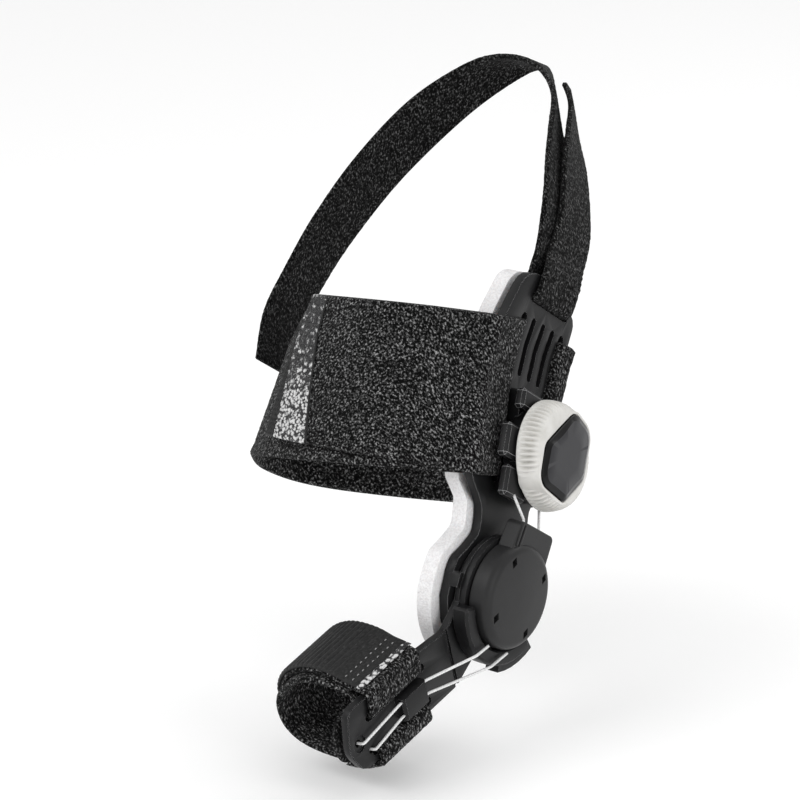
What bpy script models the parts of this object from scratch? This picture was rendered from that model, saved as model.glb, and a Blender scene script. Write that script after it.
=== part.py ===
"""Bunion corrector for a right foot: hinged side frame, winding dial, toe splint, straps and laces.

Metres, +Z up. The origin is on the hinge axis, at the foam pad's inner face. +X points away from the foot,
-Y to the toes. Two slanted frames carry the pieces: in each, y runs to the heel and z to the back of the foot.
"""
import math

import bmesh
import bpy
from mathutils import Matrix, Vector

MM = 0.001
GAP = 0.3 * MM

# Slant of the two carrying frames about the hinge axis
FRAME_TILT = math.radians(58.5)
ARM_TILT = math.radians(17.2)

# Side frame
PLATE_THICK = 3.0 * MM
PAD_THICK = 5.0 * MM
FRAME_LONG = 93.0 * MM
HINGE_END_R = 18.5 * MM
FRAME_DROP = 12.0 * MM
DROP_START = 8.0 * MM
DROP_END = 72.0 * MM
DROP_STEPS = 4
EDGE_ROUND = 0.6 * MM

# Slots of the side frame
SLOT_MID = -2.0 * MM
SLOT_PITCH = 5.4 * MM
STRAP_SLOT_WIDE = 2.8 * MM
VENT_WIDE = 2.2 * MM
VENT_LONG = 18.0 * MM
VENT_COUNT = 3
SLOT_SPARE = 4.0 * MM
DORSAL_MARGIN = 9.5 * MM
PLANTAR_MARGIN = 5.0 * MM
SLOT_HEEL_END = 80.6 * MM
HEEL_SLOT_AT = 85.8 * MM

# Foam pad
PAD_PROUD = 3.4 * MM
PAD_ROUND = 1.2 * MM
PAD_INSET = 1.2 * MM
PAD_PROUD_END = 0.29
PAD_RAMP = 4.0 * MM

# Hinge
PIN_R = 4.0 * MM
ARM_THICK = 2.6 * MM
ARM_EYE_R = 16.4 * MM
BASE_R = 16.8 * MM
BASE_THICK = 1.7 * MM
COVER_R = 15.6 * MM
COVER_WALL = 6.8 * MM
COVER_DOME = 1.2 * MM
COVER_BLIND = 2.2 * MM
TAB_REACH = 20.7 * MM
TAB_WIDE = 21.0 * MM
TAB_DEEP = 5.4 * MM
RIDGE_LONG = 6.5 * MM
RIDGE_WIDE = 3.0 * MM
RIDGE_HIGH = 1.2 * MM
RIDGE_APART = 11.0 * MM
DIAMOND_RING_R = 11.8 * MM
DIAMOND_SIDE = 1.7 * MM
DIAMOND_DEEP = 1.6 * MM
GUARD_R = 20.8 * MM
LUG_R = 22.9 * MM
LUG_FROM = math.radians(200)
LUG_HIGH = 4.6 * MM
GUARD_HIGH = 5.6 * MM
GUARD_FROM = math.radians(117)
GUARD_TO = math.radians(240)
STOP_FROM = math.radians(88)
STOP_TO = math.radians(102)
STOP_HIGH = 2.6 * MM

# Dial
DIAL_AT = 43.9 * MM
DIAL_UP = -3.2 * MM
DIAL_TILT = math.radians(11)
DIAL_R = 16.3 * MM
DIAL_HIGH = 7.2 * MM
DIAL_RIBS = 40
RIB_DEEP = 0.5 * MM
DIAL_FACE_R = 13.2 * MM
CAP_R = 12.2 * MM
CAP_THICK = 2.4 * MM
CAP_PROUD = 0.8 * MM
DECK_R = 13.6 * MM
DECK_THICK = 5.4 * MM
FOOTING_HIGH = 4.4 * MM
DIAL_FACE_X = 17.7 * MM
CAP_TURN = 0.0
LEDGE_LONG = 10.0 * MM
LEDGE_DEEP = 3.6 * MM
PORT_BOX_LONG = 9.0 * MM
PORT_BOX_DEEP = 3.2 * MM
BAR_LONG = 6.0 * MM
BAR_DEEP = 3.4 * MM
BAR_HIGH = 18.0 * MM
BLOCK_ROUND = 0.9 * MM
BLOCK_DOWN = 0.4 * MM

# Toe arm
ARM_LONG = 71.7 * MM
ARM_DORSAL = 3.6 * MM
ARM_PLANTAR = -17.6 * MM
ARM_TIP_DORSAL = 1.15 * ARM_DORSAL
ARM_CREASE_AT = 23.5 * MM
CREASE_DEEP = 0.8 * MM
ARM_SLOT_START = 35.2 * MM
ARM_SLOT_DORSAL = -2.4 * MM
ARM_SLOT_PLANTAR = -14.0 * MM
BRIDGE_AT = 44.5 * MM
BRIDGE_LONG = 11.0 * MM
BRIDGE_WIDE = 8.6 * MM
BRIDGE_HIGH = 3.4 * MM
BRIDGE_UP = -7.2 * MM
TOE_PAD_THICK = 1.6 * MM
TOE_PAD_DORSAL = -0.6 * MM
TIP_RECESS_R = 2.6 * MM
TIP_HOLE_R = 1.2 * MM

# Straps
INSTEP_WIDE = 47.0 * MM
INSTEP_THICK = 2.0 * MM
INSTEP_LOOP_WIDE = 88.5 * MM
INSTEP_LOOP_HIGH = 62.0 * MM
INSTEP_SKEW = 0.13
INSTEP_SLANT = 0.26
INSTEP_END_SHARE = 0.95
INSTEP_LAP_DRIFT = 5.5 * MM
INSTEP_LAP_SHARE = 0.345
TOE_WIDE = 23.6 * MM
TOE_TIP_SHIFT = 1.4 * MM
TOE_THICK = 1.6 * MM
TOE_LOOP_WIDE = 31.0 * MM
TOE_LOOP_HIGH = 25.0 * MM
TOE_LAP_SHARE = 0.5
HEEL_WIDE = 20.5 * MM
HEEL_THICK = 1.6 * MM
HEEL_LOOP_REACH = 70.0 * MM
HEEL_LOOP_WIDE = 88.8 * MM
HEEL_LAP_SLIDE = 6.5 * MM
HEEL_LAP_ROWS = 18
HEEL_SLIDE_ROWS = 5
TAB_CLOTH = 0.9 * MM
INSTEP_TAB_LONG = 16.0 * MM
TOE_TAB_CLEAR = 11.0 * MM

# Laces
LACE_R = 0.45 * MM
PORT_R = LACE_R + GAP

# Levels along X at the hinge, from the foot outward
PLATE_IN = PAD_THICK + GAP
PLATE_OUT = PLATE_IN + PLATE_THICK
ARM_IN = PLATE_OUT + GAP
ARM_OUT = ARM_IN + ARM_THICK
BASE_IN = ARM_OUT + GAP
BASE_OUT = BASE_IN + BASE_THICK
COVER_IN = BASE_OUT + GAP
COVER_OUT = COVER_IN + COVER_WALL
GUARD_OUT = BASE_IN + GUARD_HIGH
PIN_OUT = COVER_IN + COVER_BLIND
PORT_LEVEL = COVER_IN + TAB_DEEP / 2
TUNNEL_X = ARM_OUT + 0.62 * BRIDGE_HIGH
LACE_LEVEL = GUARD_OUT + 2 * GAP + LACE_R

# Slot lines of the side frame, from the dorsal edge down
SLOT_LINES = [SLOT_MID + (2 - i) * SLOT_PITCH for i in range(VENT_COUNT + 2)]
FRAME_TOP = SLOT_LINES[0] + DORSAL_MARGIN
FRAME_BOTTOM = SLOT_LINES[-1] - PLANTAR_MARGIN
FRAME_EDGE_TOP = 1.17 * FRAME_TOP
LONG_SLOT = INSTEP_WIDE + SLOT_SPARE
SLOT_TOE_END = SLOT_HEEL_END - LONG_SLOT
HEEL_SLOT_LONG = HEEL_WIDE + 3 * GAP
STRAP_MID = (SLOT_HEEL_END + SLOT_TOE_END) / 2
ARM_SLOT_LONG = TOE_WIDE + SLOT_SPARE
ARM_STRAP_MID = -(ARM_SLOT_START + ARM_SLOT_LONG / 2 + TOE_TIP_SHIFT / 2)

COLOURS = {
    "black_plastic": ((0.022, 0.022, 0.024), 0.42, 0.0),
    "cover_plastic": ((0.034, 0.034, 0.036), 0.5, 0.0),
    "grey_rubber": ((0.66, 0.66, 0.63), 0.6, 0.0),
    "cap_gloss": ((0.04, 0.042, 0.045), 0.18, 0.0),
    "white_foam": ((0.82, 0.81, 0.82), 0.85, 0.0),
    "black_loop_cloth": ((0.03, 0.03, 0.032), 0.95, 0.0),
    "black_webbing": ((0.022, 0.022, 0.023), 0.8, 0.0),
    "hook_strip": ((0.06, 0.06, 0.062), 0.25, 0.0),
    "steel_lace": ((0.75, 0.75, 0.74), 0.3, 0.6),
}


def clear_scene():
    for old in list(bpy.data.objects):
        bpy.data.objects.remove(old, do_unlink=True)


def make_collection(name):
    group = bpy.data.collections.new(name)
    bpy.context.scene.collection.children.link(group)
    return group


def make_material(name):
    colour, rough, metal = COLOURS[name]
    material = bpy.data.materials.get(name) or bpy.data.materials.new(name)
    material.use_nodes = True
    shader = material.node_tree.nodes["Principled BSDF"]
    shader.inputs["Base Color"].default_value = (*colour, 1.0)
    shader.inputs["Roughness"].default_value = rough
    shader.inputs["Metallic"].default_value = metal
    return material


clear_scene()
PARTS = make_collection("bunion_corrector")
CUTTERS = make_collection("cutters")


def make_frame(name, tilt):
    frame = bpy.data.objects.new(name, None)
    frame.rotation_euler = (tilt, 0.0, 0.0)
    PARTS.objects.link(frame)
    return frame


FRAME_AXES = make_frame("frame_axes", FRAME_TILT)
ARM_AXES = make_frame("arm_axes", ARM_TILT)


def add_mesh(name, mesh, group=None):
    piece = bpy.data.objects.new(name, mesh)
    (group or PARTS).objects.link(piece)
    return piece


def finish(piece, material, frame=None, sharp=35.0):
    """Gives a piece its frame, its material and smooth shading with sharp edges."""
    if frame is not None:
        piece.parent = frame
    piece.data.materials.clear()
    piece.data.materials.append(make_material(material))
    piece.data.shade_smooth()
    piece.data.set_sharp_from_angle(angle=math.radians(sharp))
    return piece


def evaluated_mesh(piece):
    bpy.context.view_layer.update()
    depsgraph = bpy.context.evaluated_depsgraph_get()
    return bpy.data.meshes.new_from_object(piece.evaluated_get(depsgraph))


def bake(piece):
    """Keeps what the modifiers of a piece make as its mesh."""
    mesh = evaluated_mesh(piece)
    piece.modifiers.clear()
    piece.data = mesh
    return piece


def weld(mesh, distance=0.00001):
    work = bmesh.new()
    work.from_mesh(mesh)
    bmesh.ops.remove_doubles(work, verts=work.verts, dist=distance)
    bmesh.ops.recalc_face_normals(work, faces=work.faces)
    work.to_mesh(mesh)
    work.free()


def rounded_outline(corners, pitch=26.0):
    """Turns (y, z, radius) corners into an outline whose corners are arcs, in steps of about pitch degrees."""
    points = []
    count = len(corners)
    for i, (y, z, radius) in enumerate(corners):
        here = Vector((y, z))
        back = Vector(corners[i - 1][:2]) - here
        ahead = Vector(corners[(i + 1) % count][:2]) - here
        if radius <= 0.0:
            points.append((y, z))
            continue
        half = back.angle(ahead) / 2
        reach = radius / math.tan(half)
        middle = here + (back.normalized() + ahead.normalized()).normalized() * (radius / math.sin(half))
        first = here + back.normalized() * reach - middle
        last = here + ahead.normalized() * reach - middle
        turn = first.angle_signed(last)
        steps = max(1, math.ceil(abs(math.degrees(turn)) / pitch))
        for k in range(steps + 1):
            angle = -turn * k / steps
            arm = Matrix.Rotation(angle, 2) @ first
            points.append(tuple(middle + arm))
    return points


def plate(name, outline, low, high, group=None):
    """A flat outline in y and z, from x = low to x = high."""
    data = bpy.data.curves.new(name, "CURVE")
    data.dimensions = "2D"
    data.fill_mode = "BOTH"
    data.extrude = (high - low) / 2
    data.render_resolution_u = 0
    spline = data.splines.new("POLY")
    spline.points.add(len(outline) - 1)
    for point, (y, z) in zip(spline.points, outline):
        point.co = (y, z, 0.0, 1.0)
    spline.use_cyclic_u = True
    flat = bpy.data.objects.new(name + "_outline", data)
    CUTTERS.objects.link(flat)
    turned = Matrix(((0, 0, 1, (low + high) / 2), (1, 0, 0, 0), (0, 1, 0, 0), (0, 0, 0, 1)))
    mesh = evaluated_mesh(flat)
    mesh.transform(turned)
    weld(mesh)
    bpy.data.objects.remove(flat, do_unlink=True)
    return add_mesh(name, mesh, group)


def box(name, low, high, group=None):
    mesh = bpy.data.meshes.new(name)
    work = bmesh.new()
    bmesh.ops.create_cube(work, size=1.0)
    low, high = Vector(low), Vector(high)
    middle = (low + high) / 2
    size = high - low
    for vert in work.verts:
        vert.co = Vector(vert.co[i] * size[i] + middle[i] for i in range(3))
    work.to_mesh(mesh)
    work.free()
    return add_mesh(name, mesh, group)


def cylinder(name, radius, low, high, sides=44, group=None, y=0.0, z=0.0):
    """A round bar along x."""
    mesh = bpy.data.meshes.new(name)
    work = bmesh.new()
    bmesh.ops.create_cone(work, cap_ends=True, segments=sides, radius1=radius, radius2=radius,
                          depth=high - low)
    work.to_mesh(mesh)
    work.free()
    mesh.transform(Matrix.Translation(((low + high) / 2, y, z)) @ Matrix.Rotation(math.pi / 2, 4, "Y"))
    return add_mesh(name, mesh, group)


def turned(name, profile, steps=64):
    """A profile of (radius, x) rows, from its top down, turned about the x axis."""
    mesh = bpy.data.meshes.new(name)
    mesh.from_pydata([(radius, 0.0, x) for radius, x in profile], [(i, i + 1) for i in range(len(profile) - 1)], [])
    piece = add_mesh(name, mesh)
    screw = piece.modifiers.new("turn", "SCREW")
    screw.steps = steps
    screw.render_steps = steps
    screw.use_merge_vertices = True
    screw.merge_threshold = 0.00001
    bake(piece)
    piece.data.transform(Matrix.Rotation(math.pi / 2, 4, "Y"))
    weld(piece.data)
    return piece


def boolean(piece, others, operation):
    for other in others:
        step = piece.modifiers.new(operation.lower(), "BOOLEAN")
        step.operation = operation
        step.solver = "EXACT"
        step.object = other
        other.hide_render = True
        other.display_type = "WIRE"
    bake(piece)
    for other in others:
        bpy.data.objects.remove(other, do_unlink=True)
    return piece


def bevel(piece, width, segments=1, angle=35.0):
    step = piece.modifiers.new("round", "BEVEL")
    step.width = width
    step.segments = segments
    step.limit_method = "ANGLE"
    step.angle_limit = math.radians(angle)
    return bake(piece)


def drop(y):
    """How far the side frame leans toward the foot at y, in straight facets."""
    place = min(1.0, max(0.0, (y - DROP_START) / (DROP_END - DROP_START))) * DROP_STEPS
    facet = min(DROP_STEPS - 1, int(place))
    low, high = (-FRAME_DROP * share * share * (3.0 - 2.0 * share)
                 for share in (facet / DROP_STEPS, (facet + 1) / DROP_STEPS))
    return low + (high - low) * (place - facet)


def bend(piece):
    """Cuts a flat piece at the facet lines of the side frame's lean, and leans it."""
    work = bmesh.new()
    work.from_mesh(piece.data)
    for i in range(DROP_STEPS + 1):
        y = DROP_START + (DROP_END - DROP_START) * i / DROP_STEPS
        bmesh.ops.bisect_plane(work, geom=work.verts[:] + work.edges[:] + work.faces[:], dist=0.000001,
                               plane_co=(0, y, 0), plane_no=(0, 1, 0))
    for vert in work.verts:
        vert.co.x += drop(vert.co.y)
    bmesh.ops.triangulate(work, faces=work.faces)
    work.to_mesh(piece.data)
    work.free()
    return piece


def slot_cutter(name, start, end, line, wide, low=-20.0 * MM, high=20.0 * MM):
    half = wide / 2
    corner = half * 0.98
    outline = rounded_outline([(start, line + half, corner), (end, line + half, corner),
                               (end, line - half, corner), (start, line - half, corner)], 46.0)
    return plate(name, outline, low, high, CUTTERS)


def spline(points, per_span):
    """Points on a smooth curve through the given ones."""
    rows = [Vector(point) for point in points]
    rows = [rows[0] * 2 - rows[1]] + rows + [rows[-1] * 2 - rows[-2]]
    smooth = []
    for a, b, c, d in zip(rows, rows[1:], rows[2:], rows[3:]):
        for k in range(per_span):
            t = k / per_span
            smooth.append(0.5 * (2 * b + (c - a) * t + (2 * a - 5 * b + 4 * c - d) * t ** 2
                                 + (3 * b - a - 3 * c + d) * t ** 3))
    smooth.append(rows[-2])
    return smooth


def ribbon(name, rows, thick):
    """A band through rows of points across it, thickened to both sides."""
    across = len(rows[0])
    verts = [tuple(point) for row in rows for point in row]
    faces = []
    for i in range(len(rows) - 1):
        for j in range(across - 1):
            a = i * across + j
            faces.append((a, a + 1, a + across + 1, a + across))
    mesh = bpy.data.meshes.new(name)
    mesh.from_pydata(verts, [], faces)
    piece = add_mesh(name, mesh)
    shell = piece.modifiers.new("wall", "SOLIDIFY")
    shell.thickness = thick
    shell.offset = 0.0
    shell.use_even_offset = True
    bake(piece)
    weld(piece.data)
    return piece


def arc(middle, radius, start, end, steps=3):
    """Points (x, v) on an arc, with angles in degrees from +x toward +v."""
    points = []
    for k in range(steps + 1):
        angle = math.radians(start + (end - start) * k / steps)
        points.append(Vector((middle[0] + radius * math.cos(angle), middle[1] + radius * math.sin(angle))))
    return points


def slot_turn(line, side, thick, bar):
    """A strap's way out through a slot: up behind the bar, through, and back over it, as (x, v) points.

    side is +1 where the bar lies past the slot on the +v side. x = 0 is the bar's outer face.
    """
    radius = thick / 2 + 0.5 * MM
    inner = -bar - GAP - thick / 2
    outer = GAP + thick / 2
    first = arc((inner + radius, line + side * radius), radius, 180, 180 + side * 90)
    second = arc((outer - radius, line + side * radius), radius, -side * 90, 0)
    return first + second


def outward(points, distance):
    """Moves each point of an (x, v) path by a distance to its left side."""
    moved = []
    for i, point in enumerate(points):
        along = points[min(i + 1, len(points) - 1)] - points[max(i - 1, 0)]
        moved.append(point + Vector((-along.y, along.x)).normalized() * distance)
    return moved


def lengths(points):
    run = [0.0]
    for a, b in zip(points, points[1:]):
        run.append(run[-1] + (b - a).length)
    return run


# Midfoot and toe sections that the straps follow, from the dorsal bar over the top to the far side and back
# under the sole. Columns: share of the loop's width away from the bar, share of its height above its middle.
INSTEP_SECTION = (
    (0.000, 0.360),
    (0.035, 0.455),
    (0.120, 0.555),
    (0.270, 0.610),
    (0.450, 0.585),
    (0.620, 0.500),
    (0.780, 0.370),
    (0.910, 0.200),
    (0.985, 0.010),
    (0.998, -0.130),
    (0.960, -0.270),
    (0.860, -0.360),
    (0.680, -0.405),
    (0.450, -0.420),
    (0.230, -0.415),
    (0.090, -0.380),
    (0.020, -0.320),
    (0.000, -0.255),
)
TOE_SECTION = (
    (0.000, 0.330),
    (0.040, 0.400),
    (0.150, 0.480),
    (0.350, 0.520),
    (0.600, 0.480),
    (0.820, 0.330),
    (0.960, 0.120),
    (1.000, -0.100),
    (0.950, -0.300),
    (0.800, -0.440),
    (0.550, -0.500),
    (0.300, -0.500),
    (0.110, -0.470),
    (0.020, -0.420),
    (0.000, -0.360),
)


def loop_path(section, wide, high, middle, lines, thick, bar, edges, lap_share):
    """The way of a strap through both slots of a bar, as (x, z) points, and where its lap starts."""
    inner = -bar - GAP - thick / 2
    outer = GAP + thick / 2
    body = spline([(inner - out * wide, middle + up * high) for out, up in section], 2)
    dorsal, plantar = lines
    into = slot_turn(plantar, -1, thick, bar)
    away = slot_turn(dorsal, 1, thick, bar)
    round_edge = GAP + thick / 2 + 0.25 * MM
    under = outward(body, -(thick + GAP))
    start = under[-7:-3] + arc((0.0, edges[1]), round_edge, -90, 0, 2)
    start.append(Vector((outer, edges[1] + 2.0 * MM)))
    lap = [Vector((outer, edges[0] - 2.0 * MM))] + arc((0.0, edges[0]), round_edge, 0, 50, 2)
    lap += under[4:int(len(under) * lap_share)]
    path = start + into[::-1] + body[::-1] + away + lap
    return path, len(path) - len(lap)


def band_rows(path, wide, middle, lay=None):
    """Both edges of a strap along its path. Its width runs along y.

    lay gives, for a point's number on the path, how far the strap sits to the heel side and its share of width.
    """
    rows = []
    for i, point in enumerate(path):
        shift, share = lay(i) if lay else (0.0, 1.0)
        rows.append([Vector((point.x, middle + shift + side * wide * share / 2, point.y)) for side in (-1, 1)])
    return rows


def instep_lay(path, lap_start, run_start=0.0, run_end=None):
    """The instep strap slants over the foot, and its lap drifts to the heel side and narrows to its end."""
    run = lengths(path)
    lap_from = run[lap_start]
    lap_long = (run_end or run[-1]) - lap_from

    def lay(i):
        point = path[i]
        slant = INSTEP_SKEW * min(0.0, point.x - PLATE_OUT) - INSTEP_SLANT * max(0.0, point.y - SLOT_LINES[0])
        share = (run_start + run[i] - lap_from) / lap_long if i > lap_start or run_start else 0.0
        share = max(0.0, share)
        return slant + INSTEP_LAP_DRIFT * share, 1.0 - (1.0 - INSTEP_END_SHARE) * share

    return lay


def side_edge():
    """Corners of the side frame: y share of its length, z share of its half width, corner radius."""
    top = FRAME_TOP
    bottom = FRAME_BOTTOM
    return [
        (-HINGE_END_R, HINGE_END_R, HINGE_END_R),
        (0.045 * FRAME_LONG, HINGE_END_R, 4.0 * MM),
        (0.150 * FRAME_LONG, 0.60 * top, 5.0 * MM),
        (0.225 * FRAME_LONG, 0.70 * top, 5.0 * MM),
        (0.305 * FRAME_LONG, FRAME_EDGE_TOP, 5.0 * MM),
        (0.840 * FRAME_LONG, 0.97 * top, 12.0 * MM),
        (0.985 * FRAME_LONG, 0.80 * top, 7.0 * MM),
        (1.005 * FRAME_LONG, 0.10 * top, 6.0 * MM),
        (0.930 * FRAME_LONG, 0.94 * bottom, 5.0 * MM),
        (0.800 * FRAME_LONG, bottom, 8.0 * MM),
        (0.380 * FRAME_LONG, 1.02 * bottom, 6.0 * MM),
        (0.290 * FRAME_LONG, 0.66 * bottom, 5.0 * MM),
        (0.160 * FRAME_LONG, 0.72 * bottom, 5.0 * MM),
        (0.045 * FRAME_LONG, -HINGE_END_R, 4.0 * MM),
        (-HINGE_END_R, -HINGE_END_R, HINGE_END_R),
    ]


def ring_sector(name, inner, outer, start, end, low, high, steps=14, group=None):
    outline = []
    for k in range(steps + 1):
        angle = start + (end - start) * k / steps
        outline.append((outer * math.cos(angle), outer * math.sin(angle)))
    for k in range(steps + 1):
        angle = end + (start - end) * k / steps
        outline.append((inner * math.cos(angle), inner * math.sin(angle)))
    return plate(name, outline, low, high, group)


def build_side_frame():
    piece = plate("side_frame", rounded_outline(side_edge()), PLATE_IN, PLATE_OUT)
    bevel(piece, EDGE_ROUND)
    cutters = [slot_cutter("long_slot", SLOT_TOE_END, SLOT_HEEL_END, line, STRAP_SLOT_WIDE)
               for line in (SLOT_LINES[0], SLOT_LINES[-1])]
    cutters += [slot_cutter("vent", SLOT_HEEL_END - VENT_LONG, SLOT_HEEL_END, line, VENT_WIDE)
                for line in SLOT_LINES[1:-1]]
    half = HEEL_SLOT_LONG / 2
    wide = STRAP_SLOT_WIDE / 2
    heel = rounded_outline([(HEEL_SLOT_AT - wide, SLOT_MID + half, wide * 0.9),
                            (HEEL_SLOT_AT + wide, SLOT_MID + half, wide * 0.9),
                            (HEEL_SLOT_AT + wide, SLOT_MID - half, wide * 0.9),
                            (HEEL_SLOT_AT - wide, SLOT_MID - half, wide * 0.9)], 46.0)
    cutters.append(plate("heel_slot", heel, -20.0 * MM, 20.0 * MM, CUTTERS))
    cutters.append(cylinder("pin_hole", PIN_R + GAP, -1.0 * MM, 20.0 * MM, 24, CUTTERS))
    boolean(piece, cutters, "DIFFERENCE")
    stop = ring_sector("stop_block", ARM_EYE_R + 2 * GAP, HINGE_END_R, STOP_FROM, STOP_TO,
                       PLATE_OUT - 1.0 * MM, PLATE_OUT + STOP_HIGH, 4, CUTTERS)
    boolean(piece, [stop], "UNION")
    bend(piece)
    return finish(piece, "black_plastic", FRAME_AXES)


def build_foam_pad():
    """The pad stands back from the frame where the instep strap runs between them."""
    corners = []
    for y, z, radius in side_edge():
        proud = PAD_PROUD if y < PAD_PROUD_END * FRAME_LONG else -PAD_INSET
        up = z + math.copysign(1.0, z) * proud
        if y < 0:
            corners.append((y - PAD_PROUD, up, radius + PAD_PROUD))
        else:
            corners.append((y, up, radius))
    piece = plate("foam_pad", rounded_outline(corners), PLATE_IN - GAP - PAD_THICK, PLATE_IN - GAP)
    bevel(piece, PAD_ROUND)
    room = INSTEP_THICK + GAP
    work = bmesh.new()
    work.from_mesh(piece.data)
    marks = (SLOT_TOE_END - 2.0 * PAD_RAMP, SLOT_TOE_END - PAD_RAMP)
    for y in marks:
        bmesh.ops.bisect_plane(work, geom=work.verts[:] + work.edges[:] + work.faces[:], dist=0.000001,
                               plane_co=(0, y, 0), plane_no=(0, 1, 0))
    for vert in work.verts:
        vert.co.x -= room * min(1.0, max(0.0, (vert.co.y - marks[0]) / (marks[1] - marks[0])))
    work.to_mesh(piece.data)
    work.free()
    bend(piece)
    return finish(piece, "white_foam", FRAME_AXES, 50.0)


def build_hinge_pin():
    piece = cylinder("hinge_pin", PIN_R, PLATE_IN, PIN_OUT, 24)
    return finish(piece, "black_plastic", FRAME_AXES)


def build_hinge_base():
    piece = cylinder("hinge_base", BASE_R, BASE_IN, BASE_OUT)
    guard = ring_sector("guard", COVER_R + 2 * GAP, GUARD_R, GUARD_FROM, GUARD_TO, BASE_IN, GUARD_OUT, 12, CUTTERS)
    lug = ring_sector("lug", COVER_R + 3 * GAP, LUG_R, LUG_FROM, GUARD_TO + math.radians(3), BASE_IN,
                      BASE_IN + LUG_HIGH, 5, CUTTERS)
    bevel(guard, 0.7 * MM, 1, 50)
    bevel(lug, 0.7 * MM, 1, 50)
    boolean(piece, [guard, lug], "UNION")
    boolean(piece, [cylinder("base_hole", PIN_R + GAP, 0.0, 30 * MM, 24, CUTTERS)], "DIFFERENCE")
    return finish(piece, "black_plastic", FRAME_AXES)


def build_hinge_cover():
    rim = 0.8 * MM
    profile = [
        (0.0, COVER_OUT + COVER_DOME),
        (0.55 * COVER_R, COVER_OUT + 0.76 * COVER_DOME),
        (0.88 * COVER_R, COVER_OUT + 0.25 * COVER_DOME),
        (COVER_R - rim, COVER_OUT),
        (COVER_R - 0.25 * rim, COVER_OUT - 0.3 * rim),
        (COVER_R, COVER_OUT - rim),
        (COVER_R, COVER_IN),
        (PIN_R + GAP, COVER_IN),
        (PIN_R + GAP, PIN_OUT + GAP),
        (0.0, PIN_OUT + GAP),
    ]
    piece = turned("hinge_cover", profile, 40)
    half = TAB_WIDE / 2
    tab = plate("tab", rounded_outline([(0.4 * COVER_R, half, 0.0), (TAB_REACH, 0.86 * half, 1.6 * MM),
                                        (TAB_REACH, -0.86 * half, 1.6 * MM), (0.4 * COVER_R, -half, 0.0)]),
                COVER_IN + 0.5 * GAP, COVER_IN + TAB_DEEP, CUTTERS)
    bevel(tab, 0.5 * MM, 1, 50)
    ridges = []
    for side in (-1, 1):
        z = side * RIDGE_APART / 2
        ridge = box("ridge", (COVER_IN + TAB_DEEP - 2 * MM, TAB_REACH - RIDGE_LONG, z - RIDGE_WIDE / 2),
                    (COVER_IN + TAB_DEEP + RIDGE_HIGH, TAB_REACH - 0.4 * MM, z + RIDGE_WIDE / 2), CUTTERS)
        bevel(ridge, 0.6 * MM)
        ridges.append(ridge)
    boolean(piece, [tab] + ridges, "UNION")
    holes = []
    for k in range(4):
        angle = math.radians(45 + 90 * k)
        half = DIAMOND_SIDE / 2
        cut = box("diamond", (COVER_OUT + COVER_DOME - DIAMOND_DEEP, -half, -half),
                  (COVER_OUT + 5 * MM, half, half), CUTTERS)
        cut.data.transform(Matrix.Translation((0, DIAMOND_RING_R * math.cos(angle), DIAMOND_RING_R * math.sin(angle)))
                           @ Matrix.Rotation(math.pi / 4 + angle, 4, "X"))
        holes.append(cut)
    for _, port in UPPER_LACES:
        holes.append(cylinder_between("port", port + Vector((0, 2 * MM, 0)), port + Vector((0, -3 * MM, 0)), PORT_R))
    boolean(piece, holes, "DIFFERENCE")
    return finish(piece, "cover_plastic", FRAME_AXES)


def cylinder_between(name, start, end, radius, sides=12, group=None):
    mesh = bpy.data.meshes.new(name)
    work = bmesh.new()
    bmesh.ops.create_cone(work, cap_ends=True, segments=sides, radius1=radius, radius2=radius,
                          depth=(end - start).length)
    work.to_mesh(mesh)
    work.free()
    spin = (end - start).to_track_quat("Z", "Y").to_matrix().to_4x4()
    mesh.transform(Matrix.Translation((start + end) / 2) @ spin)
    return add_mesh(name, mesh, group or CUTTERS)


def dial_matrix():
    """The dial's own axes: its face stands at DIAL_FACE_X, leaning with the frame."""
    return (Matrix.Translation((DIAL_FACE_X, DIAL_AT, DIAL_UP)) @ Matrix.Rotation(DIAL_TILT, 4, "Z"))


# Way of each upper lace in the frame's axes: where it leaves the dial base, where it enters the cover's tab
UPPER_LACES = (
    (Vector((PORT_LEVEL - 5.0 * MM, 29.0 * MM, 9.0 * MM)), Vector((PORT_LEVEL, TAB_REACH, 4.6 * MM))),
    (Vector((PORT_LEVEL - 5.2 * MM, 30.5 * MM, -7.0 * MM)), Vector((PORT_LEVEL - 1.0 * MM, TAB_REACH, -5.6 * MM))),
)


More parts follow.
